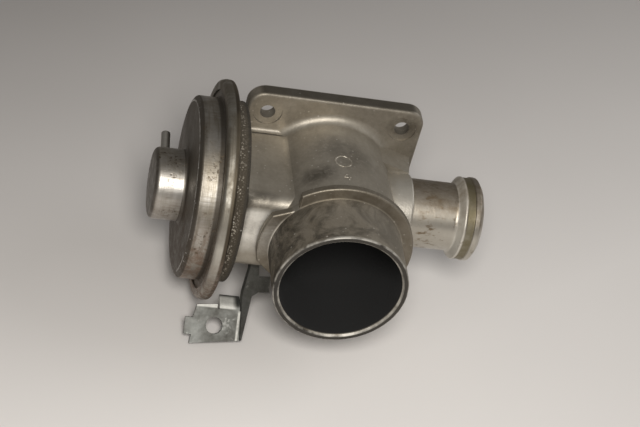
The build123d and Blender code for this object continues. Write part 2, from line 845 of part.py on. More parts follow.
def bracket():
    """Bent sheet bracket: lower plate with its hole, shelf, arm, side tab and screwed foot."""
    face, arm_plane = bracket_face(), bracket_arm_plane()
    plate_top = -shelf_drop - 0.75 * shelf_bend
    lean = (bend_top_x - bend_low_x) / (bend_low_drop - bend_top_drop)
    plate = panel(face, [
        (-bend_top_x - lean * (bend_top_drop + plate_top), plate_top),
        (-bend_low_x, -bend_low_drop), (-plate_low_x, -plate_low_drop),
        (-ear_root_x, -ear_low_drop), (-ear_x, -ear_low_drop), (-ear_x, -ear_top_drop),
        (-ear_root_x, -ear_top_drop), (-plate_top_x, -plate_top_drop),
        (-shelf_left - 1, -shelf_drop), (-shelf_left - 1, plate_top),
    ])
    hole = Pos(-bracket_hole_x, -bracket_hole_drop)
    plate -= face * hole * Cylinder(bracket_hole_d / 2, 4 * bracket_sheet)
    length = sqrt((bend_top_x - bend_low_x) ** 2 + (bend_low_drop - bend_top_drop) ** 2)
    arm = panel(arm_plane, [
        (0, 0), (0, -length), (arm_low_x, -length), (arm_waist_x, arm_waist),
        (arm_right_x, side_tab_low), (side_tab_end, side_tab_low), (side_tab_end, side_tab_top),
        (arm_right_x, side_tab_top), (arm_right_x, arm_top), (arm_top_x, arm_top),
        (arm_bend_x, arm_bend), (arm_left_x, arm_left),
    ])
    foot_top = -neck_half_height
    foot = Polyline(
        (-foot_left, -foot_back), (-foot_right, -foot_back), (-foot_right, -foot_right_front),
        (-foot_nose_x, -foot_nose), (-foot_tip_x, -foot_tip), (-foot_left, -foot_left_front),
        close=True,
    )
    foot = Pos(0, 0, foot_top - bracket_sheet) * extrude(make_face(foot), amount=bracket_sheet)
    reach = 4 * bracket_front
    below = Pos(0, 0, foot_top) * Box(
        reach, reach, reach, align=(Align.CENTER, Align.CENTER, Align.MAX)
    )
    sheet_metal = plate + bracket_shelf() + (arm & below) + foot
    for spot in bracket_screw_spots():
        sheet_metal -= spot * Cylinder(bracket_screw_d / 2 + bracket_screw_gap, 4 * bracket_sheet)
    return sheet_metal


def bracket_screw_spots():
    """Bracket screw places on the underside of the foot, local z up into the casting."""
    level = -neck_half_height - bracket_sheet
    return [
        Pos(-bracket_screw_x, -bracket_screw_front + i * bracket_screw_pitch, level)
        for i in range(2)
    ]


def bracket_washers():
    """Washers under the bracket screws."""
    ring = Circle(bracket_washer_d / 2) - Circle(bracket_screw_d / 2 + bracket_screw_gap)
    one = extrude(ring, amount=-bracket_washer_thick)
    return Compound(children=[spot * one for spot in bracket_screw_spots()])


def bracket_screws():
    """Hexagon screws that hold the bracket under the neck."""
    head = RegularPolygon(bracket_screw_flats / 2, 6, major_radius=False)
    one = screw(bracket_screw_d, bracket_screw_length, head, bracket_screw_head)
    one = Pos(0, 0, -bracket_washer_thick) * one
    return Compound(children=[spot * one for spot in bracket_screw_spots()])


nodes = {
    "valve_body": valve_body,
    "manifold_gasket": manifold_gasket,
    "inlet_pipe": inlet_pipe,
    "valve_seat": valve_seat,
    "poppet_disc": poppet_disc,
    "valve_stem": valve_stem,
    "guide_bush": guide_bush,
    "guide_shield": guide_shield,
    "stem_seal": stem_seal,
    "seal_retainer": seal_retainer,
    "can_gasket": can_gasket,
    "lower_shell": lower_shell,
    "can_screws": can_screws,
    "upper_shell": upper_shell,
    "crimp_ring": crimp_ring,
    "diaphragm": diaphragm,
    "lower_plate": lower_plate,
    "upper_plate": upper_plate,
    "stem_washer": stem_washer,
    "stem_nut": stem_nut,
    "return_spring": return_spring,
    "vacuum_nipple": vacuum_nipple,
    "hose_bracket": bracket,
    "bracket_washers": bracket_washers,
    "bracket_screws": bracket_screws,
}

os.makedirs("parts", exist_ok=True)
for name, make in nodes.items():
    export_step(make(), f"parts/{name}.step")
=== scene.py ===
import bpy
import numpy as np
from mathutils import Matrix, Vector


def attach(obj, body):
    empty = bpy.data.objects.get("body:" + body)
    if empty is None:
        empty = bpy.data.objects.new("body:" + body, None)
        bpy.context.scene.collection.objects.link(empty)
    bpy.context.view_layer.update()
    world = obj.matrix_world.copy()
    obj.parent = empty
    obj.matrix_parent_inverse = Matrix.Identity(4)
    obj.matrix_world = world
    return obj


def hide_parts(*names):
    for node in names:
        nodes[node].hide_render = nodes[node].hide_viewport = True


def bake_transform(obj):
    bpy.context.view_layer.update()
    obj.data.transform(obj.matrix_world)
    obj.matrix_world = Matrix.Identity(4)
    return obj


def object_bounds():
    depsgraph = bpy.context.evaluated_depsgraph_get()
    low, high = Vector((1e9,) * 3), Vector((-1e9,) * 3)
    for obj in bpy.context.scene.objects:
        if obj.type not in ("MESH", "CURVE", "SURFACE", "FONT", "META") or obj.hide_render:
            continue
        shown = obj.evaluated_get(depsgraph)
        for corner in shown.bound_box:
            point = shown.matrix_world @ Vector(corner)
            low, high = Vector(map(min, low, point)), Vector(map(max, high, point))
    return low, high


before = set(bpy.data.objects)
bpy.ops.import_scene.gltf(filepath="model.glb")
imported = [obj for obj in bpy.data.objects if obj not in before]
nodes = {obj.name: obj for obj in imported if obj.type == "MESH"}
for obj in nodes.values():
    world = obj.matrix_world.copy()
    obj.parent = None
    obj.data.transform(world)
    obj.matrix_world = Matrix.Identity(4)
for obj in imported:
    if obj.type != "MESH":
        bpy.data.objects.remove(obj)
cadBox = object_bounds()
print("frame loaded:", len(nodes), "nodes")

stemY = -0.028  # stem, can and inlet pipe share the line y = stemY, z = 0, which runs along x

view = {
    "place": (-0.17404, -0.64485, 0.48500),
    "right": (0.97055, -0.09395, 0.22184),
    "up": (-0.11227, 0.63836, 0.76151),
    "lens": 101.26,
    "sensor": 36.0,
    "nearest": 0.01,
}
lamps = {
    "key": {"offset": (0.06, 0.06, 0.05), "size": 0.26, "power": 7.0, "colour": (1.0, 0.98, 0.95)},
    "side": {"place": (0.9, 0.1, 0.7), "size": 0.9, "power": 3.0, "colour": (0.97, 0.98, 1.0)},
    "world": {"colour": (0.30, 0.29, 0.28), "strength": 0.6},
}


# The camera's axes are its right, its up squared to the right, and their cross product pointing back.
def placeCamera():
    right = Vector(view["right"]).normalized()
    up = Vector(view["up"])
    up = (up - right * up.dot(right)).normalized()
    back = right.cross(up)
    camera = bpy.data.objects.new("camera", bpy.data.cameras.new("camera"))
    camera.data.lens = view["lens"]
    camera.data.sensor_width = view["sensor"]
    camera.data.clip_start = view["nearest"]
    turn = Matrix((right, up, back)).transposed().to_4x4()
    camera.matrix_world = Matrix.Translation(view["place"]) @ turn
    bpy.context.scene.collection.objects.link(camera)
    bpy.context.scene.camera = camera
    print("camera placed")


# A round area lamp turned so that its back points from the target to the lamp.
def aimedLamp(name, place, target, size, power, colour):
    lamp = bpy.data.objects.new(name, bpy.data.lights.new(name, "AREA"))
    lamp.data.shape = "DISK"
    lamp.data.size = size
    lamp.data.energy = power
    lamp.data.color = colour
    lamp.location = place
    lamp.rotation_euler = (Vector(place) - Vector(target)).to_track_quat("Z", "Y").to_euler()
    bpy.context.scene.collection.objects.link(lamp)


# The key lamp stands beside the camera, its offset given along the camera's own axes. The side lamp
# and an even grey sky fill the shade.
def lightScene():
    key, side, sky = lamps["key"], lamps["side"], lamps["world"]
    place = bpy.context.scene.camera.matrix_world @ Vector(key["offset"])
    middle = (Vector(cadBox[0]) + Vector(cadBox[1])) / 2
    aimedLamp("keyLamp", place, middle, key["size"], key["power"], key["colour"])
    aimedLamp("sideLamp", side["place"], middle, side["size"], side["power"], side["colour"])
    world = bpy.data.worlds.new("studio")
    bpy.context.scene.world = world
    world.use_nodes = True
    background = world.node_tree.nodes["Background"]
    background.inputs["Color"].default_value = (*sky["colour"], 1.0)
    background.inputs["Strength"].default_value = sky["strength"]
    print("lamps placed")


# A shader node; an input is either another node's socket, which is linked, or a plain value.
def addNode(tree, kind, inputs=None, **settings):
    made = tree.nodes.new(kind)
    for key, value in settings.items():
        setattr(made, key, value)
    for key, value in (inputs or {}).items():
        if isinstance(value, bpy.types.NodeSocket):
            tree.links.new(value, made.inputs[key])
        else:
            made.inputs[key].default_value = value
    return made


# A principled material with the look's roughness, all metal unless the look says otherwise. It gives
# back its tree, its shader and the Object coordinates too.
def startMaterial(name, look, colour):
    material = bpy.data.materials.new(name)
    material.use_nodes = True
    tree = material.node_tree
    shader = tree.nodes["Principled BSDF"]
    shader.inputs["Metallic"].default_value = look.get("metal", 1.0)
    shader.inputs["Roughness"].default_value = look["roughness"]
    shader.inputs["Base Color"].default_value = (*colour, 1.0)
    where = addNode(tree, "ShaderNodeTexCoord").outputs["Object"]
    return material, tree, shader, where


# Coordinates multiplied axis by axis, so that a pattern read from them is longest where it is least.
def stretched(tree, where, stretch):
    return addNode(tree, "ShaderNodeMapping", {"Vector": where, "Scale": stretch}).outputs[0]


# Straight run from start at low to end at high, flat outside.
def ramp(tree, value, low, high, start=0.0, end=1.0):
    return addNode(tree, "ShaderNodeMapRange", {
        "Value": value, "From Min": low, "From Max": high, "To Min": start, "To Max": end}).outputs[0]


# 0 at the first of the two ends and 1 at the second.
def rise(tree, value, ends):
    return ramp(tree, value, *ends)


# 1 at the first of the two ends and 0 at the second.
def fall(tree, value, ends):
    return ramp(tree, value, *ends, 1.0, 0.0)


# A mask of 0 to 1 spread from the first to the second of two amounts.
def spread(tree, mask, amounts):
    return ramp(tree, mask, 0.0, 1.0, *amounts)


# Noise of that scale, spread so that low gives 0 and high gives 1.
def clouds(tree, where, scale, low, high, detail, roughness, twist=0.0):
    noise = addNode(tree, "ShaderNodeTexNoise", {
        "Vector": where, "Scale": scale, "Detail": detail, "Roughness": roughness, "Distortion": twist})
    return ramp(tree, noise.outputs["Fac"], low, high)


# Round spots about the points of a Voronoi pattern: 1 within low of a point, 0 past high.
def cells(tree, where, scale, low, high):
    spots = addNode(tree, "ShaderNodeTexVoronoi", {"Vector": where, "Scale": scale})
    return fall(tree, spots.outputs["Distance"], (low, high))


# One step of arithmetic on sockets or plain numbers.
def maths(tree, operation, *values):
    made = addNode(tree, "ShaderNodeMath", operation=operation)
    for socket, value in zip(made.inputs, values):
        if isinstance(value, bpy.types.NodeSocket):
            tree.links.new(value, socket)
        else:
            socket.default_value = value
    return made.outputs[0]


# The factors multiplied one after another.
def times(tree, first, *factors):
    for factor in factors:
        first = maths(tree, "MULTIPLY", first, factor)
    return first


# The largest of the values.
def most(tree, first, *others):
    for other in others:
        first = maths(tree, "MAXIMUM", first, other)
    return first


# A base with a share of a value added to it.
def plus(tree, base, value, share):
    return maths(tree, "ADD", base, times(tree, value, share))


# A base with a share of a value taken from it.
def minus(tree, base, value, share):
    return maths(tree, "SUBTRACT", base, times(tree, value, share))


# Colour under where amount is 0 and colour over where it is 1.
def tint(tree, amount, under, over):
    made = addNode(tree, "ShaderNodeMix", data_type="RGBA")
    for socket, value in zip((made.inputs[0], made.inputs[6], made.inputs[7]), (amount, under, over)):
        if isinstance(value, bpy.types.NodeSocket):
            tree.links.new(value, socket)
        elif isinstance(value, tuple):
            socket.default_value = (*value, 1.0)
        else:
            socket.default_value = value
    return made.outputs[2]


# A coat of colour over the skin, as strong as the mask times its share.
def coat(tree, skin, over, mask, share):
    return tint(tree, times(tree, mask, share), skin, over)


# 1 within inner of a place and 0 past outer.
def near(tree, where, place, inner, outer):
    away = addNode(tree, "ShaderNodeVectorMath", {0: where, 1: place}, operation="DISTANCE")
    return fall(tree, away.outputs["Value"], (inner, outer))


# The x, y and z of the coordinates.
def split(tree, where):
    made = addNode(tree, "ShaderNodeSeparateXYZ", {"Vector": where})
    return made.outputs[0], made.outputs[1], made.outputs[2]


# Distance from an axis: the root of the two squares' sum.
def reach(tree, first, second):
    return maths(tree, "SQRT", maths(tree, "ADD", times(tree, first, first), times(tree, second, second)))


# Distance from the stem's line, where y is stemY and z is 0.
def fromStemLine(tree, y, z):
    return reach(tree, maths(tree, "SUBTRACT", y, stemY), z)


# 1 between low and high, falling to 0 over soft on each side.
def band(tree, value, low, high, soft):
    return times(tree, rise(tree, value, (low - soft, low)), fall(tree, value, (high, high + soft)))


# Bump of that depth in metres from a height of 0 to 1.
def relief(tree, shader, height, depth):
    bump = addNode(tree, "ShaderNodeBump", {"Height": height, "Distance": depth, "Strength": 1.0})
    tree.links.new(bump.outputs[0], shader.inputs["Normal"])


# Leads a value into one of the shader's sockets.
def link(tree, value, shader, socket):
    tree.links.new(value, shader.inputs[socket])


# In each look, a cloud has its scale, low, high, detail, roughness and twist, spots have their scale,
# low and high, a place is where its mask starts and ends in metres, and a band has its low side, high
# side and softness. A share is how strongly a mask acts, and two shares spread it between them.
castLook = {
    "metal": 0.78, "roughness": 0.46, "reliefDepth": 0.00010,
    "colour": {
        "clean": (0.42, 0.385, 0.325), "dull": (0.215, 0.190, 0.150), "brown": (0.125, 0.103, 0.073),
        "grimeAndShade": (0.040, 0.034, 0.025), "machined": (0.60, 0.57, 0.51), "soot": (0.007, 0.0068, 0.0065),
        "pad": (0.060, 0.047, 0.030), "fleck": (0.62, 0.56, 0.46), "lip": (0.030, 0.027, 0.023),
        "highlightColour": (0.90, 0.87, 0.80),
    },
    "cloud": {
        "wide": (30.0, 0.36, 0.70, 5.0, 0.62), "smears": (95.0, 0.42, 0.74, 6.0, 0.68, 0.4),
        "fine": (700.0, 0.35, 0.72, 3.0, 0.6), "dotZones": (120.0, 0.50, 0.58, 2.0, 0.5),
        "stains": (230.0, 0.30, 0.55, 5.0, 0.7, 0.6), "highlightBreakup": (140.0, 0.35, 0.60, 5.0, 0.7, 0.4),
        "dirt": (110.0, 0.28, 0.66, 6.0, 0.7, 0.5), "streaks": (170.0, 0.22, 0.62, 6.0, 0.72, 0.7),
        "black": (75.0, 0.42, 0.58, 6.0, 0.7, 0.6), "fleckZones": (380.0, 0.36, 0.52, 4.0, 0.7),
        "clusters": (120.0, 0.36, 0.60, 3.0, 0.6), "wear": (160.0, 0.36, 0.60, 3.0, 0.6),
        "sand": (1300.0, 0.25, 0.75, 3.0, 0.65), "lumps": (260.0, 0.2, 0.8, 4.0, 0.6),
        "coarse": (750.0, 0.3, 0.7, 5.0, 0.75),
    },
    "spots": {"dots": (330.0, 0.06, 0.17), "flecks": (1000.0, 0.24, 0.48)},
    "stretch": {"smears": (1.0, 0.45, 1.0), "streaks": (1.0, 0.35, 1.0)},
    "place": {
        "paintedHighlightTop": (0.0125, 0.0155), "flange": (-0.0072, -0.0064), "flangeRim": (0.0385, 0.0393),
        "stub": (-0.0616, -0.0612), "leftSide": (-0.018, 0.020), "collarWall": (0.0290, 0.0297),
        "collarEdge": (0.0332, 0.0336), "pad": (-0.0430, -0.0426), "fleckSide": (-0.0463, -0.0451),
        "boss": (0.0240, 0.0290), "bossSide": (0.0174, 0.0182),
        "mouth": (-0.0857, -0.0863), "back": (-0.0004, -0.0001), "innerEdge": (0.0272, 0.0269),
        "outerEdge": (0.0284, 0.0287), "lipEdge": (-0.0849, -0.0857), "bore": (0.0265, 0.0267),
        "boreStart": (-0.0855, -0.0849),
    },
    "band": {"collar": (-0.0613, -0.0577, 0.0002), "seam": (-0.0441, -0.0420, 0.0008)},
    "share": {
        "wide": 0.75, "smears": 0.50, "fine": 0.16, "flangeDirt": (0.0, 0.45), "flangeRim": 0.7,
        "highlightBreakup": (0.55, 1.0), "streaks": (0.55, 1.0), "stubLeft": (0.45, 1.0), "stub": 0.85,
        "blackLeft": (0.35, 1.0), "black": 0.85, "collarDirt": (0.50, 0.9), "pad": 0.92,
        "clusters": (0.15, 0.9), "seam": 0.75, "dots": 0.6, "boss": 0.45, "back": 0.8, "mouth": 0.9,
        "wear": 0.6,
    },
    "collarEdgeWearAndSheen": {"low": 0.25, "high": 0.65, "start": 0.15, "end": 0.85},
    "dulled": {"stub": 0.5, "pad": 0.6},  # taken from the metal
    "rougher": {"wide": 0.10, "dirty": 0.10, "inside": 0.35},  # added to the roughness
    "smoother": 0.12,  # taken from the roughness on ground faces
    "height": {"sand": 0.40, "lumps": 0.60, "coarse": 5.0, "flecks": 1.0},
    "calm": (1.0, 0.3),  # relief away from the ground faces and on them
    "paintedHighlight": {"place": (-0.0375, -0.0570, 0.0070), "inner": 0.007, "outer": 0.018},
    "smudgeCore": 0.2,
    "smudges": (  # the middle, size and strength of each
        ((-0.0145, -0.0440, 0.0255), 0.0075, 0.60), ((-0.0085, -0.0425, 0.0285), 0.0075, 0.55),
        ((-0.0400, -0.0560, 0.0190), 0.0075, 0.70), ((-0.0330, -0.0555, 0.0195), 0.0070, 0.60),
        ((0.0060, -0.0300, 0.0290), 0.0140, 0.35), ((0.0310, -0.0066, 0.0310), 0.0090, 0.80),
        ((-0.0060, -0.0250, 0.0290), 0.0110, 0.30),
    ),
}


# Cast aluminium, one coat of colour on another: dull and brown clouds, smudges and a painted highlight on
# the neck's front face, dirt on the flange and a darker top rim, a stub stained most on its left, a collar
# whose outer edge is lighter, partly worn and partly a painted highlight on its rounding, a corroded pad
# with clusters of bright flecks and painted shade in the seam before the neck, ground edges and a sooty bore.
def castMaterial():
    look = castLook
    colour, cloud, place, share = look["colour"], look["cloud"], look["place"], look["share"]
    material, tree, shader, where = startMaterial("castAluminium", look, colour["clean"])
    x, y, z = split(tree, where)
    fromDuct = reach(tree, x, z)
    wide = clouds(tree, where, *cloud["wide"])
    smears = clouds(tree, stretched(tree, where, look["stretch"]["smears"]), *cloud["smears"])
    fine = clouds(tree, where, *cloud["fine"])
    skin = coat(tree, colour["clean"], colour["dull"], wide, share["wide"])
    skin = coat(tree, skin, colour["dull"], smears, share["smears"])
    skin = coat(tree, skin, colour["brown"], fine, share["fine"])

    stains = clouds(tree, where, *cloud["stains"])
    for middle, size, strength in look["smudges"]:
        patch = times(tree, near(tree, where, middle, look["smudgeCore"] * size, size), stains)
        skin = coat(tree, skin, colour["grimeAndShade"], patch, strength)
    # Painted highlight: the neck's front face is coloured near white round a middle point, fading outwards,
    # cut off below the top edge and broken up by clouds.
    paintedHighlight = near(tree, where, look["paintedHighlight"]["place"], look["paintedHighlight"]["inner"], look["paintedHighlight"]["outer"])
    paintedHighlight = times(tree, paintedHighlight, fall(tree, z, place["paintedHighlightTop"]))
    highlightBreakup = spread(tree, clouds(tree, where, *cloud["highlightBreakup"]), share["highlightBreakup"])
    skin = tint(tree, times(tree, paintedHighlight, highlightBreakup), skin, colour["highlightColour"])

    flange = rise(tree, y, place["flange"])
    dirt = clouds(tree, where, *cloud["dirt"])
    skin = tint(tree, times(tree, flange, spread(tree, dirt, share["flangeDirt"])), skin, colour["brown"])
    # The flange's top rim is darkened evenly all along its length.
    rim = ramp(tree, z, *place["flangeRim"], 0.0, share["flangeRim"])
    skin = tint(tree, times(tree, flange, rim), skin, colour["grimeAndShade"])

    stub = fall(tree, y, place["stub"])
    leftSide = fall(tree, x, place["leftSide"])
    streaks = clouds(tree, stretched(tree, where, look["stretch"]["streaks"]), *cloud["streaks"])
    stain = times(tree, spread(tree, streaks, share["streaks"]), spread(tree, leftSide, share["stubLeft"]))
    stubStain = times(tree, stub, stain)
    skin = coat(tree, skin, colour["brown"], stubStain, share["stub"])
    black = times(tree, clouds(tree, where, *cloud["black"]), spread(tree, leftSide, share["blackLeft"]))
    skin = coat(tree, skin, colour["grimeAndShade"], times(tree, stub, black), share["black"])
    collar = band(tree, y, *look["band"]["collar"])
    collar = times(tree, collar, rise(tree, fromDuct, place["collarWall"]))
    skin = tint(tree, times(tree, collar, spread(tree, dirt, share["collarDirt"])), skin, colour["brown"])
    # The collar's outer edge is lightened in speckles: partly wear, partly a painted highlight along its
    # rounding.
    edge = times(tree, collar, rise(tree, fromDuct, place["collarEdge"]))
    edge = times(tree, edge, ramp(tree, fine, **look["collarEdgeWearAndSheen"]))
    skin = tint(tree, edge, skin, colour["dull"])

    pad = fall(tree, x, place["pad"])
    skin = coat(tree, skin, colour["pad"], pad, share["pad"])
    flecks = cells(tree, where, *look["spots"]["flecks"])
    flecks = times(tree, flecks, clouds(tree, where, *cloud["fleckZones"]))
    clusters = spread(tree, clouds(tree, where, *cloud["clusters"]), share["clusters"])
    flecks = times(tree, flecks, clusters, fall(tree, x, place["fleckSide"]))
    # Painted shade: the band where the pad meets the neck is coloured dark.
    skin = coat(tree, skin, colour["grimeAndShade"], band(tree, x, *look["band"]["seam"]), share["seam"])
    skin = tint(tree, flecks, skin, colour["fleck"])
    dots = times(tree, cells(tree, where, *look["spots"]["dots"]), clouds(tree, where, *cloud["dotZones"]))
    skin = coat(tree, skin, colour["machined"], dots, share["dots"])

    boss = rise(tree, x, place["boss"])
    boss = times(tree, boss, fall(tree, fromStemLine(tree, y, z), place["bossSide"]))
    back = rise(tree, y, place["back"])
    mouth = rise(tree, y, place["mouth"])
    skin = coat(tree, skin, colour["machined"], boss, share["boss"])
    skin = coat(tree, skin, colour["machined"], back, share["back"])
    skin = coat(tree, skin, colour["lip"], mouth, share["mouth"])
    wear = most(tree, rise(tree, fromDuct, place["innerEdge"]), rise(tree, fromDuct, place["outerEdge"]))
    wear = times(tree, wear, rise(tree, y, place["lipEdge"]), clouds(tree, where, *cloud["wear"]))
    skin = coat(tree, skin, colour["machined"], wear, share["wear"])
    inside = times(tree, fall(tree, fromDuct, place["bore"]), rise(tree, y, place["boreStart"]))
    link(tree, tint(tree, inside, skin, colour["soot"]), shader, "Base Color")

    dulled, rougher, height = look["dulled"], look["rougher"], look["height"]
    dirty = most(tree, times(tree, stubStain, dulled["stub"]), times(tree, pad, dulled["pad"]))
    metal = times(tree, maths(tree, "SUBTRACT", 1.0, dirty), look["metal"])
    link(tree, times(tree, metal, fall(tree, inside, (0.0, 1.0))), shader, "Metallic")
    rough = plus(tree, look["roughness"], wide, rougher["wide"])
    rough = plus(tree, rough, most(tree, stubStain, pad), rougher["dirty"])
    rough = minus(tree, rough, most(tree, back, boss), look["smoother"])
    link(tree, plus(tree, rough, inside, rougher["inside"]), shader, "Roughness")
    grain = times(tree, clouds(tree, where, *cloud["sand"]), height["sand"])
    grain = plus(tree, grain, clouds(tree, where, *cloud["lumps"]), height["lumps"])
    grain = plus(tree, grain, times(tree, clouds(tree, where, *cloud["coarse"]), pad), height["coarse"])
    grain = plus(tree, grain, flecks, height["flecks"])
    calm = spread(tree, most(tree, back, mouth), look["calm"])
    relief(tree, shader, times(tree, grain, calm), look["reliefDepth"])
    return material


canLook = {
    "roughness": 0.31, "reliefDepth": 0.00004,
    "colour": {
        "bright": (0.66, 0.645, 0.615), "worn": (0.42, 0.392, 0.345), "stain": (0.115, 0.088, 0.06),
        "paintedShade": (0.075, 0.064, 0.051), "rust": (0.24, 0.165, 0.12), "dusk": (0.20, 0.165, 0.12),
        "film": (0.20, 0.172, 0.130),
    },
    "cloud": {
        "wide": (50.0, 0.38, 0.72, 5.0, 0.65), "brushed": (1100.0, 0.34, 0.68, 3.0, 0.6),
        "rings": (700.0, 0.36, 0.70, 3.0, 0.6), "patches": (75.0, 0.40, 0.58, 3.0, 0.6),
        "pitZones": (100.0, 0.53, 0.62, 4.0, 0.6), "pits": (620.0, 0.55, 0.62, 4.0, 0.65),
        "lines": (620.0, 0.52, 0.60, 2.0, 0.5), "film": (85.0, 0.30, 0.62, 5.0, 0.66, 0.4),
        "freckles": (210.0, 0.42, 0.56, 6.0, 0.76, 0.5), "end": (240.0, 0.35, 0.60, 4.0, 0.6),
        "ridge": (130.0, 0.40, 0.62, 5.0, 0.7), "scuffs": (90.0, 0.42, 0.56, 3.0, 0.6),
    },
    "spots": {"pits": (380.0, 0.07, 0.26), "scuffs": (520.0, 0.10, 0.24)},
    "stretch": {"brushed": (0.09, 1.0, 1.0), "rings": (3.2, 0.12, 0.12), "lines": (1.0, 0.06, 0.06)},
    "place": {"capSide": (0.0165, 0.0170), "high": (0.004, 0.016), "low": (-0.006, 0.016),
              "end": (-0.0780, -0.0788)},
    "band": {
        "shoulder": (-0.0664, -0.0634, 0.0004), "foot": (-0.0671, -0.0664, 0.0003),
        "groove": (-0.0561, -0.0540, 0.0008), "bends": (-0.0630, -0.0624, 0.0012),
        "ridge": (0.0376, 0.0380, 0.0003), "scuffs": (0.0372, 0.0392, 0.0004),
    },
    "share": {
        "wide": 0.75, "brushed": 0.55, "rings": 0.30, "linesOffCap": (0.3, 1.0), "lines": 0.45,
        "film": (0.35, 0.85), "lowOnCap": (1.0, 0.35), "low": 0.62, "freckles": 0.75, "end": (0.7, 1.0),
        "bends": 0.7, "dark": 0.85, "ridge": 0.75, "pits": 0.92,
    },
    "rougher": {"wide": 0.10, "soiled": 0.16, "dark": 0.18},
    "height": {"rings": 0.30, "brushed": 0.40, "pits": 1.6, "freckles": 0.7},
    "pitted": ((-0.0575, -0.0548, 0.0301), (-0.0565, -0.0500, 0.0330), (-0.0711, -0.0297, 0.0157)),
    "pittedCore": 0.0015, "pittedEdge": 0.0050,
}


# Pressed steel: fine brushing along the stem, rings of wear and thin lines round it, painted shade on the
# shoulder, its foot, the bends, the groove and the cap end, a bright ridge on the shoulder, brown film above,
# dusk with rust freckles below, black pits in zones and at the pitted places. What belongs to the drum's
# bands acts by bandShare.
def canMaterial(name, bandShare=1.0):
    look = canLook
    colour, cloud, place, share = look["colour"], look["cloud"], look["place"], look["share"]
    stretch, bands = look["stretch"], look["band"]
    material, tree, shader, where = startMaterial(name, look, colour["bright"])
    x, y, z = split(tree, where)
    fromAxis = fromStemLine(tree, y, z)
    wide = clouds(tree, where, *cloud["wide"])
    brushed = clouds(tree, stretched(tree, where, stretch["brushed"]), *cloud["brushed"])
    rings = clouds(tree, stretched(tree, where, stretch["rings"]), *cloud["rings"])
    patches = clouds(tree, where, *cloud["patches"])
    skin = coat(tree, colour["bright"], colour["worn"], wide, share["wide"])
    skin = coat(tree, skin, colour["film"], times(tree, brushed, patches), share["brushed"])
    skin = coat(tree, skin, colour["worn"], rings, share["rings"])
    lines = clouds(tree, stretched(tree, where, stretch["lines"]), *cloud["lines"])
    lines = times(tree, lines, ramp(tree, fromAxis, *place["capSide"], *share["linesOffCap"]))
    skin = coat(tree, skin, colour["film"], lines, share["lines"] * bandShare)

    film = spread(tree, clouds(tree, where, *cloud["film"]), share["film"])
    film = times(tree, rise(tree, z, place["high"]), film)
    onCap = fall(tree, fromAxis, place["capSide"])
    low = times(tree, fall(tree, z, place["low"]), spread(tree, onCap, share["lowOnCap"]), bandShare)
    skin = coat(tree, skin, colour["dusk"], low, share["low"])
    freckles = times(tree, low, clouds(tree, where, *cloud["freckles"]))
    skin = coat(tree, skin, colour["rust"], freckles, share["freckles"])
    skin = tint(tree, film, skin, colour["film"])

    # Painted shade: the shoulder, its foot, the cap end, the groove and the drum's bends are coloured dark
    # where the surface turns from the lamp or sinks between parts.
    shoulder = band(tree, x, *bands["shoulder"])
    foot = band(tree, x, *bands["foot"])
    end = spread(tree, clouds(tree, where, *cloud["end"]), share["end"])
    end = times(tree, rise(tree, x, place["end"]), end)
    groove = band(tree, x, *bands["groove"])
    bends = times(tree, band(tree, x, *bands["bends"]), wide, bandShare)
    skin = coat(tree, skin, colour["paintedShade"], bends, share["bends"])
    dark = most(tree, most(tree, shoulder, foot), most(tree, end, groove))
    dark = times(tree, dark, share["dark"] * bandShare)
    skin = tint(tree, dark, skin, colour["paintedShade"])
    onShoulder = times(tree, shoulder, share["ridge"] * bandShare)
    ridge = times(tree, band(tree, fromAxis, *bands["ridge"]), onShoulder)
    ridge = times(tree, ridge, clouds(tree, where, *cloud["ridge"]))
    skin = tint(tree, ridge, skin, colour["bright"])

    pitZones = clouds(tree, where, *cloud["pitZones"])
    for middle in look["pitted"]:
        spot = near(tree, where, middle, look["pittedCore"], look["pittedEdge"])
        pitZones = most(tree, pitZones, times(tree, spot, bandShare))
    pits = most(tree, cells(tree, where, *look["spots"]["pits"]), clouds(tree, where, *cloud["pits"]))
    pits = times(tree, pits, pitZones)
    skin = coat(tree, skin, colour["stain"], pits, share["pits"])
    scuffs = times(tree, cells(tree, where, *look["spots"]["scuffs"]), band(tree, fromAxis, *bands["scuffs"]))
    scuffs = times(tree, scuffs, clouds(tree, where, *cloud["scuffs"]))
    skin = coat(tree, skin, colour["bright"], scuffs, bandShare)
    link(tree, skin, shader, "Base Color")

    rougher, height = look["rougher"], look["height"]
    rough = plus(tree, look["roughness"], wide, rougher["wide"])
    rough = plus(tree, rough, most(tree, freckles, film), rougher["soiled"])
    link(tree, plus(tree, rough, dark, rougher["dark"]), shader, "Roughness")
    grain = plus(tree, times(tree, rings, height["rings"]), brushed, height["brushed"])
    grain = minus(tree, grain, pits, height["pits"])
    relief(tree, shader, plus(tree, grain, freckles, height["freckles"]), look["reliefDepth"])
    return material


ringLook = {
    "roughness": 0.31, "reliefDepth": 0.00007,
    "colour": {
        "crest": (0.46, 0.44, 0.39), "flank": (0.085, 0.070, 0.052), "rust": (0.185, 0.130, 0.098),
        "film": (0.115, 0.096, 0.068), "crumb": (0.42, 0.36, 0.31),
    },
    "cloud": {
        "wide": (60.0, 0.40, 0.70, 5.0, 0.65), "streaks": (800.0, 0.3, 0.7, 3.0, 0.6),
        "film": (85.0, 0.25, 0.55, 5.0, 0.66, 0.4), "scabs": (260.0, 0.36, 0.58, 6.0, 0.75, 0.6),
        "crumbs": (620.0, 0.50, 0.60, 4.0, 0.7), "rust": (750.0, 0.3, 0.7, 5.0, 0.7),
    },
    "stretch": (3.0, 0.15, 0.15),
    "crest": (-0.0545, -0.0516, 0.0006), "high": (0.006, 0.024), "low": (-0.026, 0.006),
    "share": {"wide": 0.45, "film": 0.8, "scabs": 0.9, "crumbs": 0.55},
    "rougher": {"wide": 0.12, "soiled": 0.22},
    "height": {"streaks": 0.3, "rust": 2.6},
}
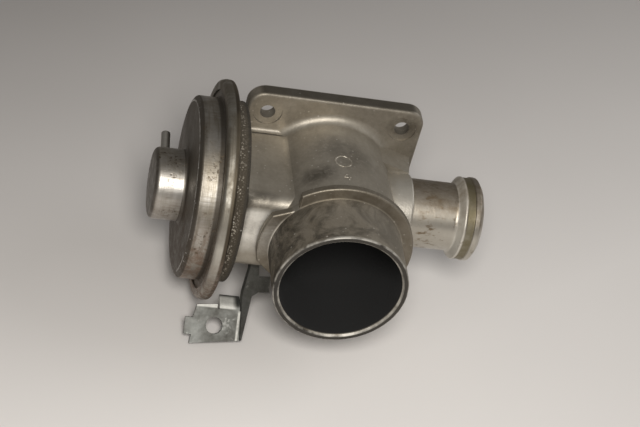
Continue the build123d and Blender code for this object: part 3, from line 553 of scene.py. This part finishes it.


# Clamp ring: a bright crest between flanks coloured dark as painted shade, dark clouds over all, brown film
# above, and scabby rust with pale crumbs below.
def ringMaterial():
    look = ringLook
    colour, cloud, share = look["colour"], look["cloud"], look["share"]
    material, tree, shader, where = startMaterial("crimpedSteel", look, colour["crest"])
    x, _, z = split(tree, where)
    wide = clouds(tree, where, *cloud["wide"])
    # Painted shade: the flanks either side of the crest are coloured dark where they slope away from the
    # lamp; the same dark colour also goes on in clouds over all.
    skin = tint(tree, band(tree, x, *look["crest"]), colour["flank"], colour["crest"])
    skin = coat(tree, skin, colour["flank"], wide, share["wide"])
    film = times(tree, rise(tree, z, look["high"]), clouds(tree, where, *cloud["film"]))
    skin = coat(tree, skin, colour["film"], film, share["film"])
    low = fall(tree, z, look["low"])
    scabs = times(tree, low, clouds(tree, where, *cloud["scabs"]))
    skin = coat(tree, skin, colour["rust"], scabs, share["scabs"])
    crumbs = times(tree, low, clouds(tree, where, *cloud["crumbs"]))
    link(tree, coat(tree, skin, colour["crumb"], crumbs, share["crumbs"]), shader, "Base Color")
    rough = plus(tree, look["roughness"], wide, look["rougher"]["wide"])
    rough = plus(tree, rough, most(tree, scabs, film), look["rougher"]["soiled"])
    link(tree, rough, shader, "Roughness")
    streaks = clouds(tree, stretched(tree, where, look["stretch"]), *cloud["streaks"])
    rust = times(tree, clouds(tree, where, *cloud["rust"]), low)
    grain = plus(tree, times(tree, streaks, look["height"]["streaks"]), rust, look["height"]["rust"])
    relief(tree, shader, grain, look["reliefDepth"])
    return material


pipeLook = {
    "roughness": 0.32, "reliefDepth": 0.00005,
    "colour": {
        "steel": (0.50, 0.475, 0.42), "heat": (0.185, 0.140, 0.090), "olive": (0.17, 0.145, 0.082),
        "wearAndSheen": (0.66, 0.63, 0.56), "soot": (0.02, 0.019, 0.018),
    },
    "cloud": {
        "wide": (55.0, 0.40, 0.72, 5.0, 0.65), "blotch": (150.0, 0.30, 0.66, 6.0, 0.68, 0.15),
        "marks": (420.0, 0.56, 0.66, 4.0, 0.6), "drips": (330.0, 0.58, 0.68, 4.0, 0.6),
        "grimeAndShade": (240.0, 0.30, 0.55, 4.0, 0.6), "wearAndSheen": (170.0, 0.35, 0.62, 4.0, 0.6),
        "streaks": (700.0, 0.3, 0.7, 3.0, 0.6), "crust": (600.0, 0.35, 0.7, 5.0, 0.7),
    },
    "stretch": {"blotch": (0.6, 1.0, 1.0), "marks": (0.4, 1.0, 1.0), "streaks": (2.5, 0.3, 0.3)},
    "topSide": (0.0045, 0.0125), "bore": (0.0140, 0.0142),
    "band": {"marks": (0.040, 0.049, 0.002), "bead": (0.0603, 0.0635, 0.0003),
             "cone": (0.0566, 0.0596, 0.0003)},
    "share": {
        "blotch": (0.35, 1.0), "marks": 0.9, "drips": 0.6, "wide": 0.30, "brown": 0.92,
        "grimeAndShade": (0.7, 1.0), "bead": 0.85, "wearAndSheen": (0.6, 0.15), "coneMetal": (1.0, 0.55),
    },
    "rougher": {"wide": 0.12, "soiled": 0.2},
    "height": {"streaks": 0.3, "crust": 1.4},
}


# Inlet pipe: satin steel, brown heat stains and drips on top with marks half way along, a painted
# highlight on the cone and a painted dark reflection in an olive band on the clamp flange, and soot inside.
def pipeMaterial():
    look = pipeLook
    colour, cloud, share, stretch = look["colour"], look["cloud"], look["share"], look["stretch"]
    material, tree, shader, where = startMaterial("pipeSteel", look, colour["steel"])
    x, y, z = split(tree, where)
    wide = clouds(tree, where, *cloud["wide"])
    blotch = clouds(tree, stretched(tree, where, stretch["blotch"]), *cloud["blotch"])
    brown = times(tree, spread(tree, blotch, share["blotch"]), rise(tree, z, look["topSide"]))
    marks = clouds(tree, stretched(tree, where, stretch["marks"]), *cloud["marks"])
    marks = times(tree, marks, band(tree, x, *look["band"]["marks"]), share["marks"])
    drips = most(tree, times(tree, clouds(tree, where, *cloud["drips"]), share["drips"]), marks)
    skin = coat(tree, colour["steel"], colour["heat"], wide, share["wide"])
    skin = coat(tree, skin, colour["heat"], brown, share["brown"])
    skin = tint(tree, drips, skin, colour["heat"])
    # Painted dark reflection: an almost solid olive band over the clamp flange's crest.
    grimeAndShade = spread(tree, clouds(tree, where, *cloud["grimeAndShade"]), share["grimeAndShade"])
    grimeAndShade = times(tree, band(tree, x, *look["band"]["bead"]), grimeAndShade)
    skin = coat(tree, skin, colour["olive"], grimeAndShade, share["bead"])
    inside = fall(tree, fromStemLine(tree, y, z), look["bore"])
    skin = tint(tree, inside, skin, colour["soot"])
    # Painted highlight: the clamp flange's cone is coloured pale in patches and made less metallic, so that
    # it shows light where its steep slope alone stays dark.
    cone = band(tree, x, *look["band"]["cone"])
    wearAndSheen = times(tree, cone, spread(tree, clouds(tree, where, *cloud["wearAndSheen"]), share["wearAndSheen"]))
    link(tree, tint(tree, wearAndSheen, skin, colour["wearAndSheen"]), shader, "Base Color")
    rough = plus(tree, look["roughness"], wide, look["rougher"]["wide"])
    rough = plus(tree, rough, most(tree, brown, grimeAndShade), look["rougher"]["soiled"])
    link(tree, rough, shader, "Roughness")
    metal = times(tree, spread(tree, cone, share["coneMetal"]), fall(tree, inside, (0.0, 1.0)))
    link(tree, metal, shader, "Metallic")
    streaks = clouds(tree, stretched(tree, where, stretch["streaks"]), *cloud["streaks"])
    crust = times(tree, clouds(tree, where, *cloud["crust"]), brown)
    grain = plus(tree, times(tree, streaks, look["height"]["streaks"]), crust, look["height"]["crust"])
    relief(tree, shader, grain, look["reliefDepth"])
    return material


bracketLook = {
    "metal": 0.8, "roughness": 0.44, "reliefDepth": 0.00004, "heightLean": 0.35,
    "colour": {"zinc": (0.13, 0.132, 0.122), "worn": (0.24, 0.238, 0.220), "grimeAndShade": (0.050, 0.047, 0.039),
               "paintedGlint": (0.50, 0.49, 0.45)},
    "cloud": {"wide": (70.0, 0.38, 0.70, 5.0, 0.65), "mottle": (420.0, 0.35, 0.70, 4.0, 0.6),
              "chips": (160.0, 0.60, 0.66, 5.0, 0.7)},
    "band": {"bend": (-0.0600, -0.0570, 0.0006), "fold": (-0.0349, -0.0343, 0.0004)},
    "place": {"bendEnd": (-0.0378, -0.0358), "foldTop": (-0.0395, -0.0385)},
    "share": {"mottle": 0.25, "chips": 0.8, "bend": (1.0, 0.75), "fold": (0.9, 0.4), "bendMetal": (1.0, 0.2)},
    "rougher": 0.2, "mottleHeight": 0.6,
}


# Zinc gone dark: grimy clouds, worn mottling and chips, and painted highlights on the bend and the fold.
# The bend lies where z plus a share of y is even, because the sheet leans back.
def bracketMaterial():
    look = bracketLook
    colour, cloud, place, share = look["colour"], look["cloud"], look["place"], look["share"]
    material, tree, shader, where = startMaterial("bracketZinc", look, colour["zinc"])
    x, y, z = split(tree, where)
    wide = clouds(tree, where, *cloud["wide"])
    mottle = clouds(tree, where, *cloud["mottle"])
    chips = times(tree, clouds(tree, where, *cloud["chips"]), share["chips"])
    skin = tint(tree, wide, colour["zinc"], colour["grimeAndShade"])
    skin = coat(tree, skin, colour["worn"], mottle, share["mottle"])
    skin = tint(tree, chips, skin, colour["worn"])
    # Painted highlights: the bend along the plate's top and the fold by the arm's edge are coloured pale in
    # mottled patches, and the bend is made less metallic.
    level = plus(tree, z, y, look["heightLean"])
    bend = times(tree, band(tree, level, *look["band"]["bend"]), spread(tree, mottle, share["bend"]))
    bend = times(tree, bend, fall(tree, x, place["bendEnd"]))
    skin = tint(tree, bend, skin, colour["paintedGlint"])
    fold = times(tree, band(tree, x, *look["band"]["fold"]), fall(tree, z, place["foldTop"]))
    fold = times(tree, fold, spread(tree, mottle, share["fold"]))
    link(tree, tint(tree, fold, skin, colour["paintedGlint"]), shader, "Base Color")
    link(tree, times(tree, spread(tree, bend, share["bendMetal"]), look["metal"]), shader, "Metallic")
    link(tree, plus(tree, look["roughness"], wide, look["rougher"]), shader, "Roughness")
    relief(tree, shader, plus(tree, chips, mottle, look["mottleHeight"]), look["reliefDepth"])
    return material


# Each turned or drawn metal has its own colour, film colour and roughness, and they share their wear.
pressedFinish = {"base": (0.46, 0.44, 0.40), "film": (0.22, 0.19, 0.15), "stretch": (1.0, 1.0, 1.0)}
turnedLook = {
    "stemSteel": {"base": (0.50, 0.49, 0.46), "film": (0.20, 0.16, 0.12), "roughness": 0.25},
    "seatSteel": {"base": (0.30, 0.28, 0.26), "film": (0.06, 0.05, 0.045), "roughness": 0.42},
    "bronze": {"base": (0.52, 0.34, 0.15), "film": (0.22, 0.14, 0.06), "roughness": 0.33},
    "pressedSteel": {**pressedFinish, "roughness": 0.36},
    "nippleSteel": {**pressedFinish, "roughness": 0.38},
    "zincSteel": {"base": (0.55, 0.55, 0.52), "film": (0.27, 0.24, 0.17), "roughness": 0.34,
                  "stretch": (1.0, 1.0, 2.0)},
    "springSteel": {"base": (0.27, 0.27, 0.28), "film": (0.10, 0.08, 0.06), "roughness": 0.35,
                    "stretch": (1.0, 1.0, 1.0)},
}
turnedWear = {
    "roundStem": (3.0, 0.2, 0.2), "lines": (900.0, 0.3, 0.7, 3.0, 0.6),
    "film": (160.0, 0.42, 0.70, 5.0, 0.65), "filmShare": 0.75, "lineShare": 0.15,
    "rougher": 0.18, "reliefDepth": 0.00003,
}
rubberColours = {"base": (0.022, 0.022, 0.022), "dust": (0.07, 0.065, 0.06)}
softLook = {
    "rubber": {
        **rubberColours, "dusting": (300.0, 0.45, 0.75, 5.0, 0.7), "grain": (2200.0, 0.3, 0.7, 2.0, 0.5),
        "metal": 0.0, "roughness": 0.48, "rougher": 0.25, "reliefDepth": 0.00003,
    },
    "cloth": {
        **rubberColours, "dusting": (200.0, 0.45, 0.75, 5.0, 0.7), "weave": 500.0,
        "metal": 0.0, "roughness": 0.52, "rougher": 0.2, "reliefDepth": 0.00005,
    },
    "gasket": {
        "base": (0.12, 0.115, 0.10), "fibre": (0.24, 0.22, 0.18), "fibres": (1500.0, 0.5, 0.7, 4.0, 0.7, 1.0),
        "stretch": (1.0, 0.25, 1.0), "metal": 0.0, "roughness": 0.72, "rougher": 0.15, "reliefDepth": 0.00003,
    },
}


# Turned or drawn metal: fine lines under an oily film in patches. The lines run round the stem's line,
# narrow along it and long across it, unless the look stretches them otherwise.
def turnedSteel(name):
    look, wear = turnedLook[name], turnedWear
    material, tree, shader, where = startMaterial(name, look, look["base"])
    stretch = look.get("stretch", wear["roundStem"])
    lines = clouds(tree, stretched(tree, where, stretch), *wear["lines"])
    film = clouds(tree, where, *wear["film"])
    skin = coat(tree, look["base"], look["film"], film, wear["filmShare"])
    skin = coat(tree, skin, look["film"], lines, wear["lineShare"])
    link(tree, skin, shader, "Base Color")
    link(tree, plus(tree, look["roughness"], film, wear["rougher"]), shader, "Roughness")
    relief(tree, shader, lines, wear["reliefDepth"])
    return material


# Black rubber with dust in patches and a fine grain.
def rubberMaterial():
    look = softLook["rubber"]
    material, tree, shader, where = startMaterial("rubber", look, look["base"])
    dust = clouds(tree, where, *look["dusting"])
    link(tree, tint(tree, dust, look["base"], look["dust"]), shader, "Base Color")
    link(tree, plus(tree, look["roughness"], dust, look["rougher"]), shader, "Roughness")
    relief(tree, shader, clouds(tree, where, *look["grain"]), look["reliefDepth"])
    return material


# Rubber on cloth: the larger of two waves, one across and one upward, prints the weave through.
def clothRubber():
    look = softLook["cloth"]
    material, tree, shader, where = startMaterial("clothRubber", look, look["base"])
    wave = {"Vector": where, "Scale": look["weave"]}
    across = addNode(tree, "ShaderNodeTexWave", wave, bands_direction="Y").outputs["Fac"]
    upward = addNode(tree, "ShaderNodeTexWave", wave, bands_direction="Z").outputs["Fac"]
    dust = clouds(tree, where, *look["dusting"])
    link(tree, tint(tree, dust, look["base"], look["dust"]), shader, "Base Color")
    link(tree, plus(tree, look["roughness"], dust, look["rougher"]), shader, "Roughness")
    relief(tree, shader, most(tree, across, upward), look["reliefDepth"])
    return material


# Gasket sheet: pale fibres, twisted and stretched along y, in a dark binder.
def gasketMaterial():
    look = softLook["gasket"]
    material, tree, shader, where = startMaterial("gasketSheet", look, look["base"])
    fibre = clouds(tree, stretched(tree, where, look["stretch"]), *look["fibres"])
    link(tree, tint(tree, fibre, look["base"], look["fibre"]), shader, "Base Color")
    link(tree, plus(tree, look["roughness"], fibre, look["rougher"]), shader, "Roughness")
    relief(tree, shader, fibre, look["reliefDepth"])
    return material


# Every CAD piece gets one material in place of its plain one; its mesh stays as it is.
def dressNodes():
    rubber, pressed = rubberMaterial(), turnedSteel("pressedSteel")
    seat, zinc = turnedSteel("seatSteel"), turnedSteel("zincSteel")
    wear = {
        "valve_body": castMaterial(), "manifold_gasket": rubber, "inlet_pipe": pipeMaterial(),
        "valve_seat": seat, "poppet_disc": seat, "valve_stem": turnedSteel("stemSteel"),
        "guide_bush": turnedSteel("bronze"), "guide_shield": pressed, "stem_seal": rubber,
        "seal_retainer": pressed, "can_gasket": gasketMaterial(),
        "lower_shell": canMaterial("lowerCanSteel", 0.0), "can_screws": zinc,
        "upper_shell": canMaterial("canSteel"), "crimp_ring": ringMaterial(), "diaphragm": clothRubber(),
        "lower_plate": pressed, "upper_plate": pressed, "stem_washer": zinc, "stem_nut": zinc,
        "return_spring": turnedSteel("springSteel"), "vacuum_nipple": turnedSteel("nippleSteel"),
        "hose_bracket": bracketMaterial(), "bracket_washers": zinc, "bracket_screws": zinc,
    }
    for name, material in wear.items():
        mesh = nodes[name].data
        mesh.materials.clear()
        mesh.materials.append(material)
    print("materials set on", len(wear), "nodes")


# Mesh from a grid of points, rows along the shape and columns round it. Rows wrap too where the shape
# is a closed ring; otherwise a middle point closes each end. The triple product of each face's corners,
# summed, is the volume times six, and the faces are turned where it is negative.
def gridMesh(name, grid, ring=False):
    rows, columns = grid.shape[:2]
    points = grid.reshape(-1, 3)
    row, column = np.meshgrid(np.arange(rows if ring else rows - 1), np.arange(columns), indexing="ij")
    after, beside = (row + 1) % rows, (column + 1) % columns
    faces = np.stack([row * columns + column, row * columns + beside,
                      after * columns + beside, after * columns + column], axis=-1).reshape(-1, 4)
    first, second, third, fourth = (points[faces[:, k]] for k in range(4))
    volume = (first * np.cross(second, third)).sum() + (first * np.cross(third, fourth)).sum()
    caps = np.zeros((0, 3), dtype=int)
    if not ring:
        here, there = np.arange(columns), (np.arange(columns) + 1) % columns
        last = (rows - 1) * columns
        caps = np.concatenate([
            np.stack([there, here, np.full(columns, len(points))], axis=-1),
            np.stack([last + here, last + there, np.full(columns, len(points) + 1)], axis=-1)])
        points = np.concatenate([points, grid[0].mean(axis=0)[None], grid[-1].mean(axis=0)[None]])
        ends = points[caps]
        volume += (ends[:, 0] * np.cross(ends[:, 1], ends[:, 2])).sum()
    if volume < 0:
        faces, caps = faces[:, ::-1], caps[:, ::-1]
    mesh = bpy.data.meshes.new(name)
    mesh.from_pydata(points.tolist(), [], faces.tolist() + caps.tolist())
    mesh.shade_smooth()
    piece = bpy.data.objects.new(name, mesh)
    bpy.context.scene.collection.objects.link(piece)
    return piece


# Gives a piece its material and its slot, and the body it rides on unless it blends between two.
def finishPiece(piece, material, body):
    piece.data.materials.append(material)
    if body:
        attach(piece, body)
    print("piece:", piece.name, len(piece.data.polygons), "faces")


# Even angles round a full turn, the last one short of the first.
def turnAngles(count):
    return np.linspace(0, 2 * np.pi, count, endpoint=False)


springWire = {
    "meanRadius": 0.0118, "wireRadius": 0.0009, "turns": 6.0, "endTurns": 1.0, "easeTurns": 0.5,
    "endPitch": 0.93, "seatShare": 0.5, "plateEnd": -0.0557, "capSide": -0.0784,
    "around": 14, "stepsPerTurn": 40,
}


# Spring: a circle of the wire's radius carried along a coil. The coil climbs by a little under one wire
# a turn in its end turns and by an even pitch between, and both ends are ground flat on their seats.
def makeSpring():
    look = springWire
    turns, edge, ease, wire = look["turns"], look["endTurns"], look["easeTurns"], look["wireRadius"]
    turn = np.linspace(0.0, turns, int(turns * look["stepsPerTurn"]) + 1)
    leaving = np.clip((turn - edge + ease / 2) / ease, 0, 1)
    calm = leaving * np.clip((turns - edge + ease / 2 - turn) / ease, 0, 1)
    climb = np.concatenate([[0.0], np.cumsum(0.5 * (calm[1:] + calm[:-1]) * np.diff(turn))])
    closed = 2 * wire * turn * look["endPitch"]
    openRoom = look["plateEnd"] - look["capSide"] - wire - closed[-1]
    along = look["seatShare"] * wire + closed + openRoom * climb / climb[-1]
    angle = 2 * np.pi * turn
    outward = np.stack([np.zeros_like(angle), np.cos(angle), np.sin(angle)], axis=-1)
    middle = outward * look["meanRadius"]
    middle[:, 0] = look["plateEnd"] - along
    middle[:, 1] += stemY
    around = turnAngles(look["around"])
    side = np.array([-1.0, 0.0, 0.0])
    grid = middle[:, None] + wire * (
        np.cos(around)[None, :, None] * outward[:, None] + np.sin(around)[None, :, None] * side)
    grid[..., 0] = np.clip(grid[..., 0], look["capSide"], look["plateEnd"])
    piece = gridMesh("springCoil", grid)
    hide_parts("return_spring")
    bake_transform(piece)
    finishPiece(piece, turnedSteel("springSteel"), None)


membrane = {
    "rimRadius": 0.0473, "foldOuter": 0.0386, "foldInner": 0.0288, "holeRadius": 0.00252,
    "rimX": (-0.0512, -0.0526), "middleX": (-0.0535, -0.0547), "foldDepth": 0.0026,
    "blendX": (-0.0527, -0.0534), "rimSteps": 10, "foldSteps": 33, "middleSteps": 16, "around": 180,
}


# Diaphragm: a closed profile turned round the stem line. Its two faces run from the clamped rim to the
# middle by a smooth step, three squares less two cubes, and drop between by a sine arch over the fold.
def makeDiaphragm():
    look = membrane
    outer, inner, around = look["foldOuter"], look["foldInner"], look["around"]
    radius = np.concatenate([
        np.linspace(look["rimRadius"], outer, look["rimSteps"])[:-1],
        np.linspace(outer, inner, look["foldSteps"])[:-1],
        np.linspace(inner, look["holeRadius"], look["middleSteps"])])
    share = np.clip((outer - radius) / (outer - inner), 0, 1)
    step = share * share * (3 - 2 * share)
    arch = look["foldDepth"] * np.sin(np.pi * share)
    lower, upper = (
        (1 - step) * rim + step * middle - arch for rim, middle in zip(look["rimX"], look["middleX"]))
    profileX = np.concatenate([lower, upper[::-1]])
    profileR = np.concatenate([radius, radius[::-1]])
    angle = turnAngles(around)[:, None]
    grid = np.stack([np.broadcast_to(profileX, (around, len(profileX))),
                     stemY + profileR * np.cos(angle), profileR * np.sin(angle)], axis=-1)
    piece = gridMesh("diaphragmCloth", grid, ring=True)
    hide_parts("diaphragm")
    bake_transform(piece)
    finishPiece(piece, clothRubber(), None)


castMarks = {
    "ductRadius": 0.0293, "bead": 0.00042, "proud": 0.00022, "foot": 0.5, "sunk": 0.00003,
    "ringPlace": (-0.0003, -0.0351), "ringRadius": 0.0036, "ringSteps": (96, 12),
    "numberPlace": (0.0004, -0.0456), "numberHeight": 0.0046, "numberSteps": (21, 10),
    "strokeWidth": 0.80, "endPower": 0.4,
    # Where each stroke starts and stops, as shares of the number's height.
    "strokes": {"slope": ((0.10, 0.50), (-0.36, -0.12)), "level": ((-0.36, -0.12), (0.34, -0.12)),
                "upright": ((0.14, 0.22), (0.14, -0.50))},
    "metal": 0.85, "roughness": 0.42, "wearAndSheen": (0.60, 0.555, 0.47), "dirt": (0.20, 0.17, 0.13),
    "dirtClouds": (600.0, 0.40, 0.65, 4.0, 0.65), "grain": (1300.0, 0.3, 0.7, 3.0, 0.6),
    "reliefDepth": 0.00004,
}


# Lays flat marks on the duct: the first flat coordinate becomes an arc round the duct, the second runs
# along it, and the height is added to the duct's radius.
def ontoDuct(across, along, height):
    radius = castMarks["ductRadius"] + height
    angle = across / castMarks["ductRadius"]
    return np.stack([radius * np.sin(angle), along, radius * np.cos(angle)], axis=-1)


# Height of a bead whose section is a low oval: proud above the duct, a flatter foot below it, all sunk
# a little so that no gap shows.
def beadHeight(lift):
    look = castMarks
    return np.where(lift > 0, look["proud"] * lift, look["foot"] * look["proud"] * lift) - look["sunk"]


# The marks are lighter than the skin round them, partly rubbed tops and partly a painted highlight that
# lets every stroke show, with dirt left in patches.
def marksMaterial():
    look = castMarks
    material, tree, shader, where = startMaterial("marksWearAndSheen", look, look["wearAndSheen"])
    dirt = clouds(tree, where, *look["dirtClouds"])
    link(tree, tint(tree, dirt, look["wearAndSheen"], look["dirt"]), shader, "Base Color")
    relief(tree, shader, clouds(tree, where, *look["grain"]), look["reliefDepth"])
    return material


# Cast ring: a bead carried round a circle on the duct's top, its foot sunk in the metal.
def makeCastRing(material):
    look = castMarks
    (middleX, middleY), (steps, sides) = look["ringPlace"], look["ringSteps"]
    turn, around = turnAngles(steps)[:, None], turnAngles(sides)[None, :]
    width = look["ringRadius"] + look["bead"] * np.cos(around)
    height = beadHeight(np.sin(around)) + 0 * turn
    grid = ontoDuct(middleX + width * np.cos(turn), middleY + width * np.sin(turn), height)
    finishPiece(gridMesh("castRing", grid, ring=True), material, "housing")


# Cast figure 4: each stroke is a bead along a straight run. Its width and height follow a power of the
# sine of its way along, which rounds its ends.
def makeCastNumber(material):
    look = castMarks
    (middleX, middleY), (steps, sides) = look["numberPlace"], look["numberSteps"]
    way = np.linspace(0, np.pi, steps)
    swell = np.sin(way) ** look["endPower"]
    around = turnAngles(sides)[None, :]
    height = beadHeight(np.sin(around) * swell[:, None])
    width = look["strokeWidth"] * look["bead"] * swell[:, None] * np.cos(around)
    for name, ends in look["strokes"].items():
        start, stop = np.array(ends) * look["numberHeight"]
        run = (stop - start) / np.linalg.norm(stop - start)
        across = np.array([-run[1], run[0]])
        along = start + (stop - start) * (0.5 - 0.5 * np.cos(way))[:, None]
        flat = along[:, None] + width[..., None] * across
        grid = ontoDuct(middleX + flat[..., 0], middleY + flat[..., 1], height)
        finishPiece(gridMesh("castNumber_" + name, grid), material, "housing")


braze = {
    "capRadius": 0.01585, "fromEnd": -0.0740, "tilt": 22.0, "tubeRadius": 0.0031, "tubeLap": 0.97,
    "footRadius": 0.0044, "height": 0.00075, "footSunk": 0.00004, "under": 0.0003,
    # Each wave in the foot's outline has its size, its count round the nipple and its start.
    "waves": ((0.05, 3, 0.7), (0.03, 7, 0.0)), "around": 72, "steps": 9,
    "roughness": 0.34, "rougher": 0.2, "colour": (0.42, 0.34, 0.20), "dark": (0.16, 0.12, 0.07),
    "stain": (420.0, 0.35, 0.65, 4.0, 0.65), "grain": (1500.0, 0.3, 0.7, 3.0, 0.6), "reliefDepth": 0.00003,
}


# Brazed fillet: it runs out from the nipple's collar and falls with the square of the distance to the
# cap's round side, whose height at each point is the root of radius squared less offset squared.
def makeBraze():
    look = braze
    angle = turnAngles(look["around"])[:, None]
    share = np.linspace(0, 1, look["steps"])[None, :]
    wobble = 1 + sum(size * np.sin(count * angle + start) for size, count, start in look["waves"])
    tube = look["tubeRadius"] * look["tubeLap"]
    radius = tube + (look["footRadius"] * wobble - tube) * share
    top = look["height"] * (1 - share) ** 2 - look["footSunk"] * share
    radii = np.concatenate([radius, radius[:, ::-1]], axis=1)
    heights = np.concatenate([top, np.full_like(top, -look["under"])], axis=1)
    along, side = radii * np.cos(angle), radii * np.sin(angle)
    outward = np.sqrt(look["capRadius"] ** 2 - side ** 2) + heights
    tilt = np.radians(look["tilt"])
    grid = np.stack([look["fromEnd"] + along,
                     stemY + outward * np.cos(tilt) - side * np.sin(tilt),
                     outward * np.sin(tilt) + side * np.cos(tilt)], axis=-1)
    material, tree, shader, where = startMaterial("brazeMetal", look, look["colour"])
    stain = clouds(tree, where, *look["stain"])
    link(tree, tint(tree, stain, look["colour"], look["dark"]), shader, "Base Color")
    link(tree, plus(tree, look["roughness"], stain, look["rougher"]), shader, "Roughness")
    relief(tree, shader, clouds(tree, where, *look["grain"]), look["reliefDepth"])
    finishPiece(gridMesh("nippleBraze", grid, ring=True), material, "housing")


floorLook = {
    "gap": 0.0006, "reach": 3.0, "metal": 0.0, "roughness": 0.75,
    "colour": (0.72, 0.69, 0.66), "far": (0.33, 0.312, 0.298), "lean": 0.7, "fade": (-0.10, 0.28),
    "fadeShare": 0.94, "soft": (6.0, 0.3, 0.7, 2.0, 0.5), "softShare": 0.06,
}


# A plain square just under the part. Its colour darkens from the near side to the far one as a painted
# falloff of light, along y less a share of x, with faint clouds in it.
def layFloor():
    look = floorLook
    low, span = cadBox[0][2] - look["gap"], look["reach"]
    corners = [(-span, -span, low), (span, -span, low), (span, span, low), (-span, span, low)]
    mesh = bpy.data.meshes.new("floor")
    mesh.from_pydata(corners, [], [(0, 1, 2, 3)])
    floor = bpy.data.objects.new("floor", mesh)
    bpy.context.scene.collection.objects.link(floor)
    material, tree, shader, where = startMaterial("paperFloor", look, look["colour"])
    x, y, _ = split(tree, where)
    away = rise(tree, minus(tree, y, x, look["lean"]), look["fade"])
    soft = clouds(tree, where, *look["soft"])
    away = plus(tree, times(tree, away, look["fadeShare"]), soft, look["softShare"])
    link(tree, tint(tree, away, look["colour"], look["far"]), shader, "Base Color")
    mesh.materials.append(material)
    print("floor laid")


placeCamera()
lightScene()
layFloor()
dressNodes()
makeSpring()
makeDiaphragm()
marksWearAndSheenMetal = marksMaterial()
makeCastRing(marksWearAndSheenMetal)
makeCastNumber(marksWearAndSheenMetal)
makeBraze()
bpy.context.scene.view_settings.view_transform = "Standard"
